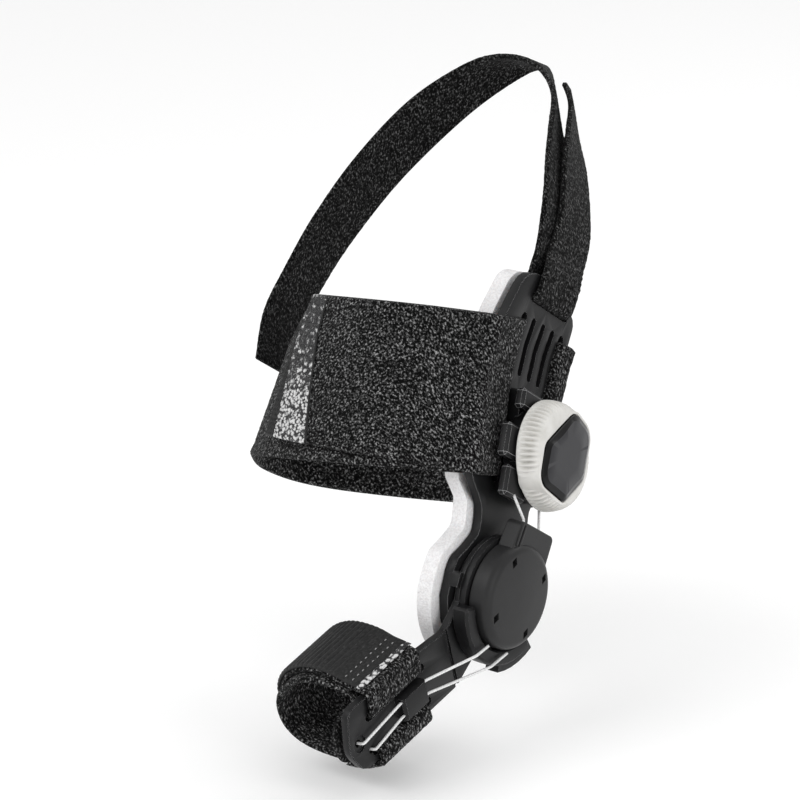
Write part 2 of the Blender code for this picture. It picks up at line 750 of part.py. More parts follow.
def build_dial_base():
    face = PLATE_OUT + GAP
    inset = STRAP_SLOT_WIDE / 2 + GAP
    low_z = SLOT_LINES[-1] + inset
    high_z = SLOT_LINES[0] - inset
    toe_y = SLOT_TOE_END - 1.0 * MM
    heel_y = SLOT_HEEL_END - VENT_LONG - 4.0 * MM
    piece = plate("dial_base", rounded_outline([(toe_y, high_z, 2 * MM), (heel_y, high_z, 2 * MM),
                                                (heel_y, low_z, 2 * MM), (toe_y, low_z, 2 * MM)]),
                  face, face + FOOTING_HIGH)
    bend(piece)
    deck = cylinder("deck", DECK_R, -DIAL_HIGH - GAP - DECK_THICK, -DIAL_HIGH - GAP, 36, CUTTERS)
    back = -DIAL_HIGH - GAP - BLOCK_DOWN
    ledge = box("ledge", (back - LEDGE_DEEP, -0.55 * LEDGE_LONG, -DIAL_UP),
                (back, 0.45 * LEDGE_LONG, DECK_R + 3.0 * MM - DIAL_UP), CUTTERS)
    port_start = SLOT_TOE_END - 2.0 * MM - DIAL_AT
    port_box = box("port_box", (back - PORT_BOX_DEEP, port_start, 2.0 * MM - DIAL_UP),
                   (back, port_start + PORT_BOX_LONG, DECK_R - DIAL_UP), CUTTERS)
    bar_end = heel_y + 1.5 * MM - DIAL_AT
    bar = box("bar", (back - BAR_DEEP, bar_end - BAR_LONG, low_z + 5.0 * MM - DIAL_UP),
              (back, bar_end, low_z + 5.0 * MM - DIAL_UP + BAR_HIGH), CUTTERS)
    for block in (ledge, port_box, bar):
        bevel(block, BLOCK_ROUND)
    for block in (deck, ledge, port_box, bar):
        block.data.transform(dial_matrix())
    boolean(piece, [deck, ledge, port_box, bar], "UNION")
    ports = []
    for start, end in UPPER_LACES:
        way = (end - start).normalized()
        ports.append(cylinder_between("port", start + way * -3 * MM, start + way * 6 * MM, PORT_R))
    boolean(piece, ports, "DIFFERENCE")
    return finish(piece, "black_plastic", FRAME_AXES)


def build_dial_ring():
    low = -DIAL_HIGH
    face_r = DIAL_FACE_R
    profile = [
        (CAP_R + GAP + 0.6 * MM, -CAP_THICK + CAP_PROUD - GAP),
        (CAP_R + GAP + 0.6 * MM, -0.2 * MM),
        (face_r, 0.0),
        (0.5 * (face_r + DIAL_R), -0.12 * DIAL_HIGH),
        (0.93 * DIAL_R, -0.30 * DIAL_HIGH),
        (0.985 * DIAL_R, -0.55 * DIAL_HIGH),
        (DIAL_R, -0.90 * DIAL_HIGH),
        (DIAL_R, low),
        (0.0, low),
    ]
    steps = 2 * DIAL_RIBS
    inner = [(0.0, -CAP_THICK + CAP_PROUD - GAP)]
    piece = turned("dial_ring", inner + profile, steps)
    for vert in piece.data.vertices:
        radius = math.hypot(vert.co.y, vert.co.z)
        depth = vert.co.x
        if -0.85 * DIAL_HIGH < depth < -0.05 * DIAL_HIGH and radius > 0.9 * face_r:
            turn = int(round(math.atan2(vert.co.z, vert.co.y) / (2 * math.pi) * steps))
            if turn % 2:
                scale = (radius - RIB_DEEP) / radius
                vert.co.y *= scale
                vert.co.z *= scale
    piece.location = dial_matrix().translation
    piece.rotation_euler = (0.0, 0.0, DIAL_TILT)
    return finish(piece, "grey_rubber", FRAME_AXES, 25.0)


def build_dial_cap():
    """A rounded triangle: three flats, one facing the plantar side."""
    corners = []
    for k in range(3):
        for side in (-1, 1):
            angle = math.radians(CAP_TURN + 120 * k) + side * math.radians(30)
            corners.append((CAP_R * math.cos(angle), CAP_R * math.sin(angle), 0.28 * CAP_R))
    piece = plate("dial_cap", rounded_outline(corners, 16.0), -CAP_THICK + CAP_PROUD, CAP_PROUD)
    bevel(piece, 0.5 * MM)
    piece.location = dial_matrix().translation
    piece.rotation_euler = (0.0, 0.0, DIAL_TILT)
    return finish(piece, "cap_gloss", FRAME_AXES)



def arm_edge():
    return [
        (-ARM_EYE_R * 0.50, ARM_EYE_R * 0.62, 0.0),
        (-ARM_CREASE_AT, 0.4 * ARM_DORSAL, 4.0 * MM),
        (-0.54 * ARM_LONG, 0.86 * ARM_DORSAL, 4.0 * MM),
        (-0.965 * ARM_LONG, ARM_TIP_DORSAL, 3.5 * MM),
        (-ARM_LONG, 0.5 * ARM_PLANTAR, 6.0 * MM),
        (-0.94 * ARM_LONG, 0.98 * ARM_PLANTAR, 5.0 * MM),
        (-ARM_CREASE_AT, ARM_PLANTAR, 6.0 * MM),
        (-ARM_EYE_R * 0.10, -ARM_EYE_R * 0.50, 0.0),
    ]


def build_toe_arm():
    piece = cylinder("toe_arm", ARM_EYE_R, ARM_IN, ARM_OUT)
    inset = 0.05 * MM
    blade = plate("blade", rounded_outline(arm_edge()), ARM_IN + inset, ARM_OUT - inset, CUTTERS)
    bridge = box("bridge", (ARM_OUT - 1 * MM, -BRIDGE_AT - BRIDGE_LONG / 2, BRIDGE_UP - BRIDGE_WIDE / 2),
                 (ARM_OUT + BRIDGE_HIGH, -BRIDGE_AT + BRIDGE_LONG / 2, BRIDGE_UP + BRIDGE_WIDE / 2), CUTTERS)
    bevel(bridge, 0.8 * MM)
    bevel(piece, EDGE_ROUND)
    bevel(blade, EDGE_ROUND)
    boolean(piece, [blade, bridge], "UNION")
    cutters = [slot_cutter("arm_slot", -ARM_SLOT_START - ARM_SLOT_LONG, -ARM_SLOT_START, line, STRAP_SLOT_WIDE)
               for line in (ARM_SLOT_DORSAL, ARM_SLOT_PLANTAR)]
    cutters.append(cylinder("eye_hole", PIN_R + GAP, 0.0, 30 * MM, 24, CUTTERS))
    crease = box("crease", (ARM_OUT - CREASE_DEEP, -ARM_CREASE_AT - 0.7 * MM, -30 * MM),
                 (ARM_OUT + 2 * MM, -ARM_CREASE_AT + 0.7 * MM, 30 * MM), CUTTERS)
    cutters.append(crease)
    for route in LOWER_LACES:
        tip = route[-1]
        cutters.append(cylinder("tip_hole", TIP_HOLE_R, 0.0, 30 * MM, 16, CUTTERS, tip.y, tip.z))
        cutters.append(cylinder_between("tunnel", Vector((TUNNEL_X, -BRIDGE_AT - BRIDGE_LONG, route[2].z)),
                                        Vector((TUNNEL_X, -BRIDGE_AT + BRIDGE_LONG, route[2].z)), PORT_R + 0.05 * MM))
    first_tip = LOWER_LACES[0][-1]
    cutters.append(cylinder("tip_recess", TIP_RECESS_R, ARM_OUT - 0.8 * MM, 30 * MM, 24, CUTTERS,
                            first_tip.y, first_tip.z))
    boolean(piece, cutters, "DIFFERENCE")
    return finish(piece, "black_plastic", ARM_AXES)


# Way of each lower lace in the arm's axes: cover rim, guard edge, both ends of the bridge, tip of the arm
LOWER_LACES = tuple(
    (
        Vector((LACE_LEVEL, start[0] * MM, start[1] * MM)),
        Vector((LACE_LEVEL, edge[0] * MM, edge[1] * MM)),
        Vector((TUNNEL_X, -BRIDGE_AT + BRIDGE_LONG / 2 + 0.8 * MM, line * MM)),
        Vector((TUNNEL_X, -BRIDGE_AT - BRIDGE_LONG / 2 - 0.8 * MM, line * MM)),
        Vector((ARM_OUT + LACE_R + 0.4 * MM, (tip[0] + 0.5) * MM, tip[1] * MM)),
        Vector((ARM_OUT - 1.2 * MM, tip[0] * MM, tip[1] * MM)),
    )
    for start, edge, line, tip in (
        ((-14.8, -7.4), (-20.6, -7.0), -5.0, (-67.0, -7.8)),
        ((-7.7, -14.7), (-15.6, -14.2), -9.4, (-62.9, -12.6)),
    )
)


def build_laces():
    for i, (start, end) in enumerate(UPPER_LACES):
        way = (end - start).normalized()
        points = [start - way * 2 * MM, end + Vector((0, 0.8 * MM, 0)), end - Vector((0, 1.6 * MM, 0))]
        make_lace(f"lace_upper_{i + 1}", points, FRAME_AXES)
    for i, route in enumerate(LOWER_LACES):
        make_lace(f"lace_lower_{i + 1}", route, ARM_AXES)


def make_lace(name, points, frame):
    data = bpy.data.curves.new(name, "CURVE")
    data.dimensions = "3D"
    data.bevel_depth = LACE_R
    data.bevel_resolution = 2
    data.render_resolution_u = 0
    data.use_fill_caps = True
    way = data.splines.new("POLY")
    way.points.add(len(points) - 1)
    for point, place in zip(way.points, points):
        point.co = (*place, 1.0)
    tube = bpy.data.objects.new(name + "_route", data)
    CUTTERS.objects.link(tube)
    mesh = evaluated_mesh(tube)
    weld(mesh)
    bpy.data.objects.remove(tube, do_unlink=True)
    return finish(add_mesh(name, mesh), "steel_lace", frame)


def tab_path(path, lap_start, thick, cloth, length=None, clear=0.0):
    """The outer side of a strap's lap: its last stretch, or all past a clear stretch, for a thin tab."""
    lap = path[lap_start:]
    run = lengths(lap)
    first = run[-1] - length if length else clear
    kept = [point for point, at in zip(lap, run) if at >= first]
    return outward(kept, -(thick / 2 + GAP + cloth / 2)), run[-1]


def build_instep_strap():
    path, lap = loop_path(INSTEP_SECTION, INSTEP_LOOP_WIDE, INSTEP_LOOP_HIGH, SLOT_MID,
                          (SLOT_LINES[0], SLOT_LINES[-1]), INSTEP_THICK, PLATE_THICK,
                          (FRAME_EDGE_TOP, FRAME_BOTTOM), INSTEP_LAP_SHARE)
    path = [point + Vector((PLATE_OUT, 0.0)) for point in path]
    strap = ribbon("instep_strap", band_rows(path, INSTEP_WIDE, STRAP_MID, instep_lay(path, lap)), INSTEP_THICK)
    finish(bend(strap), "black_loop_cloth", FRAME_AXES)
    outer, total = tab_path(path, lap, INSTEP_THICK, TAB_CLOTH, INSTEP_TAB_LONG)
    lay = instep_lay(outer, 0, total - INSTEP_TAB_LONG, total)
    tab = ribbon("instep_hook_tab", band_rows(outer, INSTEP_WIDE, STRAP_MID, lay), TAB_CLOTH)
    finish(bend(tab), "hook_strip", FRAME_AXES)


def build_toe_strap():
    edges = (ARM_TIP_DORSAL, ARM_PLANTAR)
    middle = (ARM_SLOT_DORSAL + ARM_SLOT_PLANTAR) / 2
    path, lap = loop_path(TOE_SECTION, TOE_LOOP_WIDE, TOE_LOOP_HIGH, middle, (ARM_SLOT_DORSAL, ARM_SLOT_PLANTAR),
                          TOE_THICK, ARM_THICK, edges, TOE_LAP_SHARE)
    path = [point + Vector((ARM_OUT, 0.0)) for point in path]
    strap = ribbon("toe_strap", band_rows(path, TOE_WIDE, ARM_STRAP_MID), TOE_THICK)
    finish(strap, "black_loop_cloth", ARM_AXES)
    outer, _ = tab_path(path, lap, TOE_THICK, TAB_CLOTH, None, TOE_TAB_CLEAR)
    tab = ribbon("toe_hook_tab", band_rows(outer, TOE_WIDE, ARM_STRAP_MID), TAB_CLOTH)
    finish(tab, "black_webbing", ARM_AXES)


def build_toe_pad():
    """A thin lining between the toe and the arm, inside the toe strap."""
    high = ARM_IN - GAP - TOE_THICK - GAP
    corners = rounded_outline([
        (-ARM_SLOT_START + 4.0 * MM, TOE_PAD_DORSAL, 3.0 * MM),
        (-0.985 * ARM_LONG, TOE_PAD_DORSAL, 4.0 * MM),
        (-0.985 * ARM_LONG, 0.86 * ARM_PLANTAR, 4.0 * MM),
        (-ARM_SLOT_START + 4.0 * MM, 0.86 * ARM_PLANTAR, 3.0 * MM),
    ])
    piece = plate("toe_pad", corners, high - TOE_PAD_THICK, high)
    bevel(piece, 0.4 * MM)
    return finish(piece, "black_webbing", ARM_AXES)


# The heel strap's way in the frame's axes, from the slot's bar up the inner side, behind the heel tendon and
# down the outer side to the instep strap. Columns: share of the loop's width toward the outer side, share of
# its reach past the bar, height above the slot's middle in shares of the strap's width, turn of its width
# about x in degrees, cant of its width toward +x in degrees.
HEEL_WAY = (
    (0.000, 0.000, 0.00, 0, 0),
    (0.003, 0.120, 0.02, 0, 0),
    (0.030, 0.320, 0.14, 0, 5),
    (0.095, 0.519, 0.12, 2, 12),
    (0.165, 0.664, 0.00, 5, 23),
    (0.258, 0.837, -0.22, 10, 32),
    (0.380, 0.965, -0.50, 12, 22),
    (0.490, 1.000, -0.62, 12, 0),
    (0.590, 0.930, -0.54, 12, -22),
    (0.730, 0.710, -0.36, 8, -26),
    (0.855, 0.380, -0.16, 4, -14),
    (0.945, 0.064, -0.08, 0, -5),
    (1.005, -0.200, -0.10, 0, 0),
    (1.027, -0.400, -0.10, 0, 0),
    (0.990, -0.620, -0.10, 0, 0),
)


def heel_rows(points, spins, across=3):
    rows = []
    for point, (turn, cant) in zip(points, spins):
        cant_axes = Matrix.Rotation(math.radians(cant), 3, "Y")
        wide = Matrix.Rotation(math.radians(turn), 3, "X") @ cant_axes @ Vector((0, 0, 1))
        rows.append([point + wide * HEEL_WIDE * (j / (across - 1) - 0.5) for j in range(across)])
    return rows


def build_heel_strap():
    turn = slot_turn(HEEL_SLOT_AT, 1, HEEL_THICK, PLATE_THICK)
    face = PLATE_OUT + drop(FRAME_LONG)
    inner = face - PLATE_THICK - GAP - HEEL_THICK / 2
    outer = face + GAP + HEEL_THICK / 2
    start = FRAME_LONG + 0.5 * MM
    way = spline([(inner - out * HEEL_LOOP_WIDE, start + far * HEEL_LOOP_REACH, SLOT_MID + up * HEEL_WIDE)
                  for out, far, up, _, _ in HEEL_WAY], 3)
    spins = [(row.x, row.y) for row in spline([(row[3], row[4], 0.0) for row in HEEL_WAY], 3)]
    slot_points = [Vector((x + face, y, SLOT_MID)) for x, y in turn]
    lap = [Vector((outer, FRAME_LONG + 1.3 * MM, SLOT_MID))]
    lap_spins = [(0.0, 0.0)]
    for i in range(3, HEEL_LAP_ROWS):
        along = (way[i + 1] - way[i - 1]).normalized()
        wide = heel_rows([way[i]], [spins[i]], 2)[0]
        side = (wide[1] - wide[0]).cross(along).normalized()
        if side.x < 0:
            side = -side
        lap.append(way[i] + side * (HEEL_THICK + GAP) + Vector((0, 0, -HEEL_LAP_SLIDE * min(1.0, i / HEEL_SLIDE_ROWS))))
        lap_spins.append(spins[i])
    points = list(reversed(way)) + slot_points + lap
    spins = list(reversed(spins)) + [(0.0, 0.0)] * len(slot_points) + lap_spins
    return finish(ribbon("heel_strap", heel_rows(points, spins), HEEL_THICK), "black_loop_cloth", FRAME_AXES)



def build():
    build_side_frame()
    build_foam_pad()
    build_hinge_pin()
    build_hinge_base()
    build_hinge_cover()
    build_dial_base()
    build_dial_ring()
    build_dial_cap()
    build_toe_arm()
    build_toe_pad()
    build_laces()
    build_instep_strap()
    build_toe_strap()
    build_heel_strap()


build()
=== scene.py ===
"""Looks of the right-foot bunion corrector: brushed straps, hook strips, foam, laces, dial and plastic.

Cloth and cable pieces are made in millimetres in the two slanted frames of the CAD part, where y runs to the
heel and z to the back of the foot, and are then turned into the row frame.
"""
import math

import bmesh
import bpy
import numpy as np
from mathutils import Matrix, Vector


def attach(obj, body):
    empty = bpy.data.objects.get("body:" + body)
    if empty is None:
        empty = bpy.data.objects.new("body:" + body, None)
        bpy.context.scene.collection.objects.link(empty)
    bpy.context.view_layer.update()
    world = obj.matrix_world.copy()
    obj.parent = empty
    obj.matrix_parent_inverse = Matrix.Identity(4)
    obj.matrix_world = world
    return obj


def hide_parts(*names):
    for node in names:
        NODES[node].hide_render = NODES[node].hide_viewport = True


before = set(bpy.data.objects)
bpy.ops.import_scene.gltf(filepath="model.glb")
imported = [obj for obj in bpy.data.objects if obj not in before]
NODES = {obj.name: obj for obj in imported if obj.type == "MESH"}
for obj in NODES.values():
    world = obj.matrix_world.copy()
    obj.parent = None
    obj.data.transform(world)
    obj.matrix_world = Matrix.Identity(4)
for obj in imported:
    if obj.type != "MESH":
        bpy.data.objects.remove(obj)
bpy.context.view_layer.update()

MM = 0.001
GAP = 0.3
FRAME_TILT = math.radians(58.5)
ARM_TILT = math.radians(17.2)
PLATE_THICK = 3.0
PLATE_OUT = 8.3
PLATE_IN = 5.3
FRAME_LONG = 93.0
FRAME_TOP = 18.3
FRAME_EDGE_TOP = 1.17 * FRAME_TOP
FRAME_BOTTOM = -17.8
HINGE_END_R = 18.5
FRAME_DROP = 12.0
DROP_START = 8.0
DROP_END = 72.0
DROP_STEPS = 4
SLOT_MID = -2.0
SLOT_DORSAL = 8.8
SLOT_PLANTAR = -12.8
SLOT_TOE_END = 29.6
STRAP_MID = 55.1
HEEL_SLOT_AT = 85.8
ARM_THICK = 2.6
ARM_OUT = 11.2
ARM_LONG = 71.7
ARM_PLANTAR = -17.6
ARM_TIP_DORSAL = 4.14
ARM_SLOT_DORSAL = -2.4
ARM_SLOT_PLANTAR = -14.0
ARM_STRAP_MID = -49.7
TOE_PAD_DORSAL = -0.6
DIAL_PLACE = (17.7, 43.9, -3.2)
DIAL_TILT = math.radians(11)
DIAL_R = 16.3
DIAL_HIGH = 7.2
DIAL_RIBS = 60
LACE_R = 0.45
TAB_LIFT = 0.45
ARC_STEPS = 8
SLAB_CUT = 2.0
EDGE_BEVEL = 0.24
EDGE_SEGMENTS = 2


def axes(tilt):
    return Matrix.Rotation(tilt, 4, "X") @ Matrix.Scale(MM, 4)


FRAME_AXES = axes(FRAME_TILT)
ARM_AXES = axes(ARM_TILT)
DIAL_AXES = FRAME_AXES @ Matrix.Translation(DIAL_PLACE) @ Matrix.Rotation(DIAL_TILT, 4, "Z")


# Paths and meshes

def curve(rows, per_span):
    """Rows of numbers on a smooth curve through the given rows."""
    p = np.asarray(rows, dtype=float)
    p = np.vstack([2 * p[:1] - p[1:2], p, 2 * p[-1:] - p[-2:-1]])
    t = (np.arange(per_span) / per_span)[:, None]
    spans = []
    for a, b, c, d in zip(p, p[1:], p[2:], p[3:]):
        spans.append(0.5 * (2 * b + (c - a) * t + (2 * a - 5 * b + 4 * c - d) * t ** 2
                            + (3 * b - a - 3 * c + d) * t ** 3))
    return np.vstack(spans + [p[-2:-1]])


def run_of(table, dims):
    steps = np.linalg.norm(np.diff(table[:, :dims], axis=0), axis=1)
    return np.concatenate([[0.0], np.cumsum(steps)])


def resample(table, pitch, dims):
    """Rows at an even pitch along the length of the first columns."""
    run = run_of(table, dims)
    count = max(3, int(round(run[-1] / pitch)) + 1)
    at = np.linspace(0.0, run[-1], count)
    return np.stack([np.interp(at, run, table[:, k]) for k in range(table.shape[1])], axis=1)


def soften(table, passes):
    table = table.copy()
    for _ in range(passes):
        table[1:-1] = 0.25 * table[:-2] + 0.5 * table[1:-1] + 0.25 * table[2:]
    return table


def arc(middle, radius, start, end):
    angles = np.radians(np.linspace(start, end, ARC_STEPS + 1))
    return np.stack([middle[0] + radius * np.cos(angles), middle[1] + radius * np.sin(angles)], axis=1)


def outward(path, distance):
    """Moves each point of an (x, v) path by a distance to its left side."""
    along = np.gradient(path, axis=0)
    left = np.stack([-along[:, 1], along[:, 0]], axis=1)
    return path + left / np.linalg.norm(left, axis=1, keepdims=True) * distance


def slot_turn(line, side, thick, bar):
    """A strap's way through a slot and round its bar, as (x, v) points."""
    radius = thick / 2 + 0.5
    inner = -bar - GAP - thick / 2
    outer = GAP + thick / 2
    first = arc((inner + radius, line + side * radius), radius, 180, 180 + side * 90)
    second = arc((outer - radius, line + side * radius), radius, -side * 90, 0)
    return np.vstack([first, second])


# Sections that the straps follow, as in the CAD part: share of the loop's width, share of its height
INSTEP_SECTION = (
    (0.000, 0.360), (0.035, 0.455), (0.120, 0.555), (0.270, 0.610), (0.450, 0.585), (0.620, 0.500),
    (0.780, 0.370), (0.910, 0.200), (0.985, 0.010), (0.998, -0.130), (0.960, -0.270), (0.860, -0.360),
    (0.680, -0.405), (0.450, -0.420), (0.230, -0.415), (0.090, -0.380), (0.020, -0.320), (0.000, -0.255),
)
TOE_SECTION = (
    (0.000, 0.330), (0.040, 0.400), (0.150, 0.480), (0.350, 0.520), (0.600, 0.480), (0.820, 0.330),
    (0.960, 0.120), (1.000, -0.100), (0.950, -0.300), (0.800, -0.440), (0.550, -0.500), (0.300, -0.500),
    (0.110, -0.470), (0.020, -0.420), (0.000, -0.360),
)
SPAN = 8


def loop_path(section, wide, high, middle, lines, thick, bar, edges, lap_spans, pitch):
    """A strap's way through both slots of a bar. Columns: x, z, share of the lap."""
    inner = -bar - GAP - thick / 2
    outer = GAP + thick / 2
    body = curve([(inner - out * wide, middle + up * high) for out, up in section], SPAN)
    under = outward(body, -(thick + GAP))
    last = len(body) - 1
    edge = GAP + thick / 2 + 0.25
    start = np.vstack([under[last - 3 * SPAN:last - SPAN - SPAN // 2 + 1], arc((0, edges[1]), edge, -90, 0),
                       [(outer, edges[1] + 2.0)]])
    lap = np.vstack([[(outer, edges[0] - 2.0)], arc((0, edges[0]), edge, 0, 50),
                     under[2 * SPAN:int(lap_spans * SPAN) + 1]])
    into = slot_turn(lines[1], -1, thick, bar)
    away = slot_turn(lines[0], 1, thick, bar)
    path = np.vstack([start, into[::-1], body[::-1], away, lap])
    share = np.zeros(len(path))
    lap_run = run_of(lap, 2)
    share[-len(lap):] = lap_run / lap_run[-1]
    table = resample(np.column_stack([path, share]), pitch, 2)
    return soften(table, int(1.0 / pitch ** 2))


def facet_drop(y):
    """How far the faceted side frame leans in at a distance along it."""
    nodes = np.linspace(DROP_START, DROP_END, DROP_STEPS + 1)
    share = np.linspace(0.0, 1.0, DROP_STEPS + 1)
    return np.interp(y, nodes, -FRAME_DROP * share * share * (3.0 - 2.0 * share))


def band(table, wide, middle, pitch, shift, share=1.0, lean=False):
    """A grid of points across a strap whose width runs along y."""
    count = int(round(wide / pitch)) + 1
    across = np.linspace(-0.5, 0.5, count)[None, :]
    n = len(table)
    shift = np.broadcast_to(np.asarray(shift, dtype=float), (n,))[:, None]
    share = np.broadcast_to(np.asarray(share, dtype=float), (n,))[:, None]
    y = middle + shift + wide * share * across
    x = np.repeat(table[:, :1], count, axis=1)
    if lean:
        x = x + facet_drop(y)
    z = np.repeat(table[:, 1:2], count, axis=1)
    return np.stack([x, y, z], axis=2)


def normals_of(grid):
    along = np.gradient(grid, axis=0)
    across = np.gradient(grid, axis=1)
    normal = np.cross(along, across)
    return normal / np.maximum(np.linalg.norm(normal, axis=2, keepdims=True), 1e-9)


def mesh_piece(name, points, faces, matrix, material, smooth=True):
    mesh = bpy.data.meshes.new(name)
    turned = np.c_[points, np.ones(len(points))] @ np.array(matrix).T
    mesh.from_pydata(turned[:, :3].tolist(), [], [tuple(f) for f in faces])
    mesh.validate()
    piece = bpy.data.objects.new(name, mesh)
    bpy.context.scene.collection.objects.link(piece)
    mesh.materials.append(material)
    if smooth:
        mesh.shade_smooth()
    return piece


def cloth(name, grid, thick, matrix, material, relief=None, *, fuzz, seed, side=1.0):
    """A closed strip of cloth about a grid of middle points, with rounded edges and a soft uneven pile."""
    n, m = grid.shape[:2]
    rng = np.random.default_rng(seed)
    normal = normals_of(grid) * side
    width = np.linalg.norm(grid[:, -1] - grid[:, 0], axis=1)[:, None]
    from_edge = np.minimum(np.linspace(0, 1, m), np.linspace(1, 0, m))[None, :] * width
    run = run_of(grid[:, m // 2], 3)
    from_end = np.minimum(run, run[-1] - run)[:, None]
    bite = np.clip(1.0 - np.minimum(from_edge, from_end) / (thick / 2), 0.0, 1.0)
    half = thick / 2 * np.sqrt(np.maximum(0.0, 1.0 - bite ** 2))
    fade = np.clip(np.minimum(from_edge, from_end) / 1.0, 0.0, 1.0)
    lift = half + (rng.random((n, m)) - 0.5) * fuzz * fade
    if relief is not None:
        lift = lift + relief * fade
    sink = half + (rng.random((n, m)) - 0.5) * fuzz * fade
    outer = grid + normal * lift[..., None]
    inner = grid - normal * sink[..., None]
    index = np.arange(n * m).reshape(n, m)
    below = index + n * m
    rim = np.zeros((n, m), dtype=bool)
    rim[0], rim[-1], rim[:, 0], rim[:, -1] = True, True, True, True
    below[rim] = index[rim]
    a, b, c, d = index[:-1, :-1], index[:-1, 1:], index[1:, 1:], index[1:, :-1]
    top = np.stack([a, b, c, d], axis=-1).reshape(-1, 4)
    e, f, g, h = below[:-1, :-1], below[:-1, 1:], below[1:, 1:], below[1:, :-1]
    bottom = np.stack([h, g, f, e], axis=-1).reshape(-1, 4)
    faces = np.vstack([top, bottom])
    if side > 0:
        faces = faces[:, ::-1]
    points = np.vstack([outer.reshape(-1, 3), inner.reshape(-1, 3)])
    used = np.unique(faces)
    renumber = np.zeros(len(points), dtype=int)
    renumber[used] = np.arange(len(used))
    piece = mesh_piece(name, points[used], renumber[faces].tolist(), matrix, material)
    mend_normals(piece)
    return piece


def mend_normals(piece):
    """Turns all faces outward."""
    work = bmesh.new()
    work.from_mesh(piece.data)
    bmesh.ops.recalc_face_normals(work, faces=work.faces)
    work.to_mesh(piece.data)
    work.free()


def tube_points(points, radius, sides, twist=None, ply=0.0):
    """Rings round a path by parallel transport. ply is the depth of a twisted cable's grooves."""
    along = np.gradient(points, axis=0)
    along /= np.linalg.norm(along, axis=1, keepdims=True)
    up = np.cross(along[0], (0.31, 0.87, 0.39))
    rings = []
    run = run_of(points, 3)
    angles = np.linspace(0, 2 * math.pi, sides, endpoint=False)
    for i, direction in enumerate(along):
        up = up - direction * up.dot(direction)
        up /= np.linalg.norm(up)
        out = np.cross(direction, up)
        size = np.full(sides, radius)
        if twist:
            size = size * (1.0 - ply * (0.5 + 0.5 * np.cos(3 * (angles - 2 * math.pi * run[i] / twist))))
        round_it = np.cos(angles)[:, None] * up + np.sin(angles)[:, None] * out
        rings.append(points[i] + size[:, None] * round_it)
    return np.vstack(rings)


def tube_faces(rings, sides, start=0):
    faces = []
    for i in range(rings - 1):
        for k in range(sides):
            a = start + i * sides + k
            b = start + i * sides + (k + 1) % sides
            faces.append((a, b, b + sides, a + sides))
    faces.append(tuple(start + k for k in reversed(range(sides))))
    faces.append(tuple(start + (rings - 1) * sides + k for k in range(sides)))
    return faces


# Materials

def new_material(name, colour, rough, **sockets):
    material = bpy.data.materials.new(name)
    material.use_nodes = True
    tree = material.node_tree
    shader = tree.nodes["Principled BSDF"]
    shader.inputs["Base Color"].default_value = (*colour, 1.0)
    shader.inputs["Roughness"].default_value = rough
    for socket, value in sockets.items():
        shader.inputs[socket.replace("_", " ")].default_value = value
    return material, tree, shader


def add(tree, kind, **values):
    node = tree.nodes.new(kind)
    for key, value in values.items():
        setattr(node, key, value)
    return node


def noise(tree, where, scale, detail, rough=0.5):
    node = add(tree, "ShaderNodeTexNoise")
    node.inputs["Scale"].default_value = scale
    node.inputs["Detail"].default_value = detail
    node.inputs["Roughness"].default_value = rough
    tree.links.new(where, node.inputs["Vector"])
    return node.outputs["Fac"]


def cells(tree, where, scale):
    node = add(tree, "ShaderNodeTexVoronoi", feature="F1")
    node.inputs["Scale"].default_value = scale
    tree.links.new(where, node.inputs["Vector"])
    return node.outputs["Distance"]


def ramp(tree, value, stops):
    node = add(tree, "ShaderNodeValToRGB")
    shades = node.color_ramp
    while len(shades.elements) < len(stops):
        shades.elements.new(0.5)
    for element, (at, colour) in zip(shades.elements, stops):
        element.position = at
        element.color = (*colour, 1.0) if isinstance(colour, tuple) else (colour, colour, colour, 1.0)
    tree.links.new(value, node.inputs["Fac"])
    return node.outputs["Color"]


def mix(tree, share, a, b):
    node = add(tree, "ShaderNodeMix", data_type="RGBA")
    for socket, value in ((node.inputs[0], share), (node.inputs[6], a), (node.inputs[7], b)):
        if isinstance(value, (int, float)):
            socket.default_value = value
        elif isinstance(value, tuple):
            socket.default_value = (*value, 1.0)
        else:
            tree.links.new(value, socket)
    return node.outputs[2]


def spread(tree, value, low, high):
    node = add(tree, "ShaderNodeMapRange")
    node.inputs["To Min"].default_value = low
    node.inputs["To Max"].default_value = high
    tree.links.new(value, node.inputs["Value"])
    return node.outputs["Result"]


def bump(tree, shader, height, depth, strength, under=None):
    node = add(tree, "ShaderNodeBump")
    node.inputs["Distance"].default_value = depth
    node.inputs["Strength"].default_value = strength
    tree.links.new(height, node.inputs["Height"])
    if under is not None:
        tree.links.new(under, node.inputs["Normal"])
    tree.links.new(node.outputs["Normal"], shader.inputs["Normal"])
    return node.outputs["Normal"]


def combine(tree, operation, a, b):
    node = add(tree, "ShaderNodeMath", operation=operation)
    tree.links.new(a, node.inputs[0])
    tree.links.new(b, node.inputs[1])
    return node.outputs[0]


def object_place(tree, stretch=None, turn=0.0):
    place = add(tree, "ShaderNodeTexCoord").outputs["Object"]
    if stretch is None:
        return place
    node = add(tree, "ShaderNodeMapping")
    node.inputs["Scale"].default_value = stretch
    node.inputs["Rotation"].default_value = (turn, 0.0, 0.0)
    tree.links.new(place, node.inputs["Vector"])
    return node.outputs["Vector"]


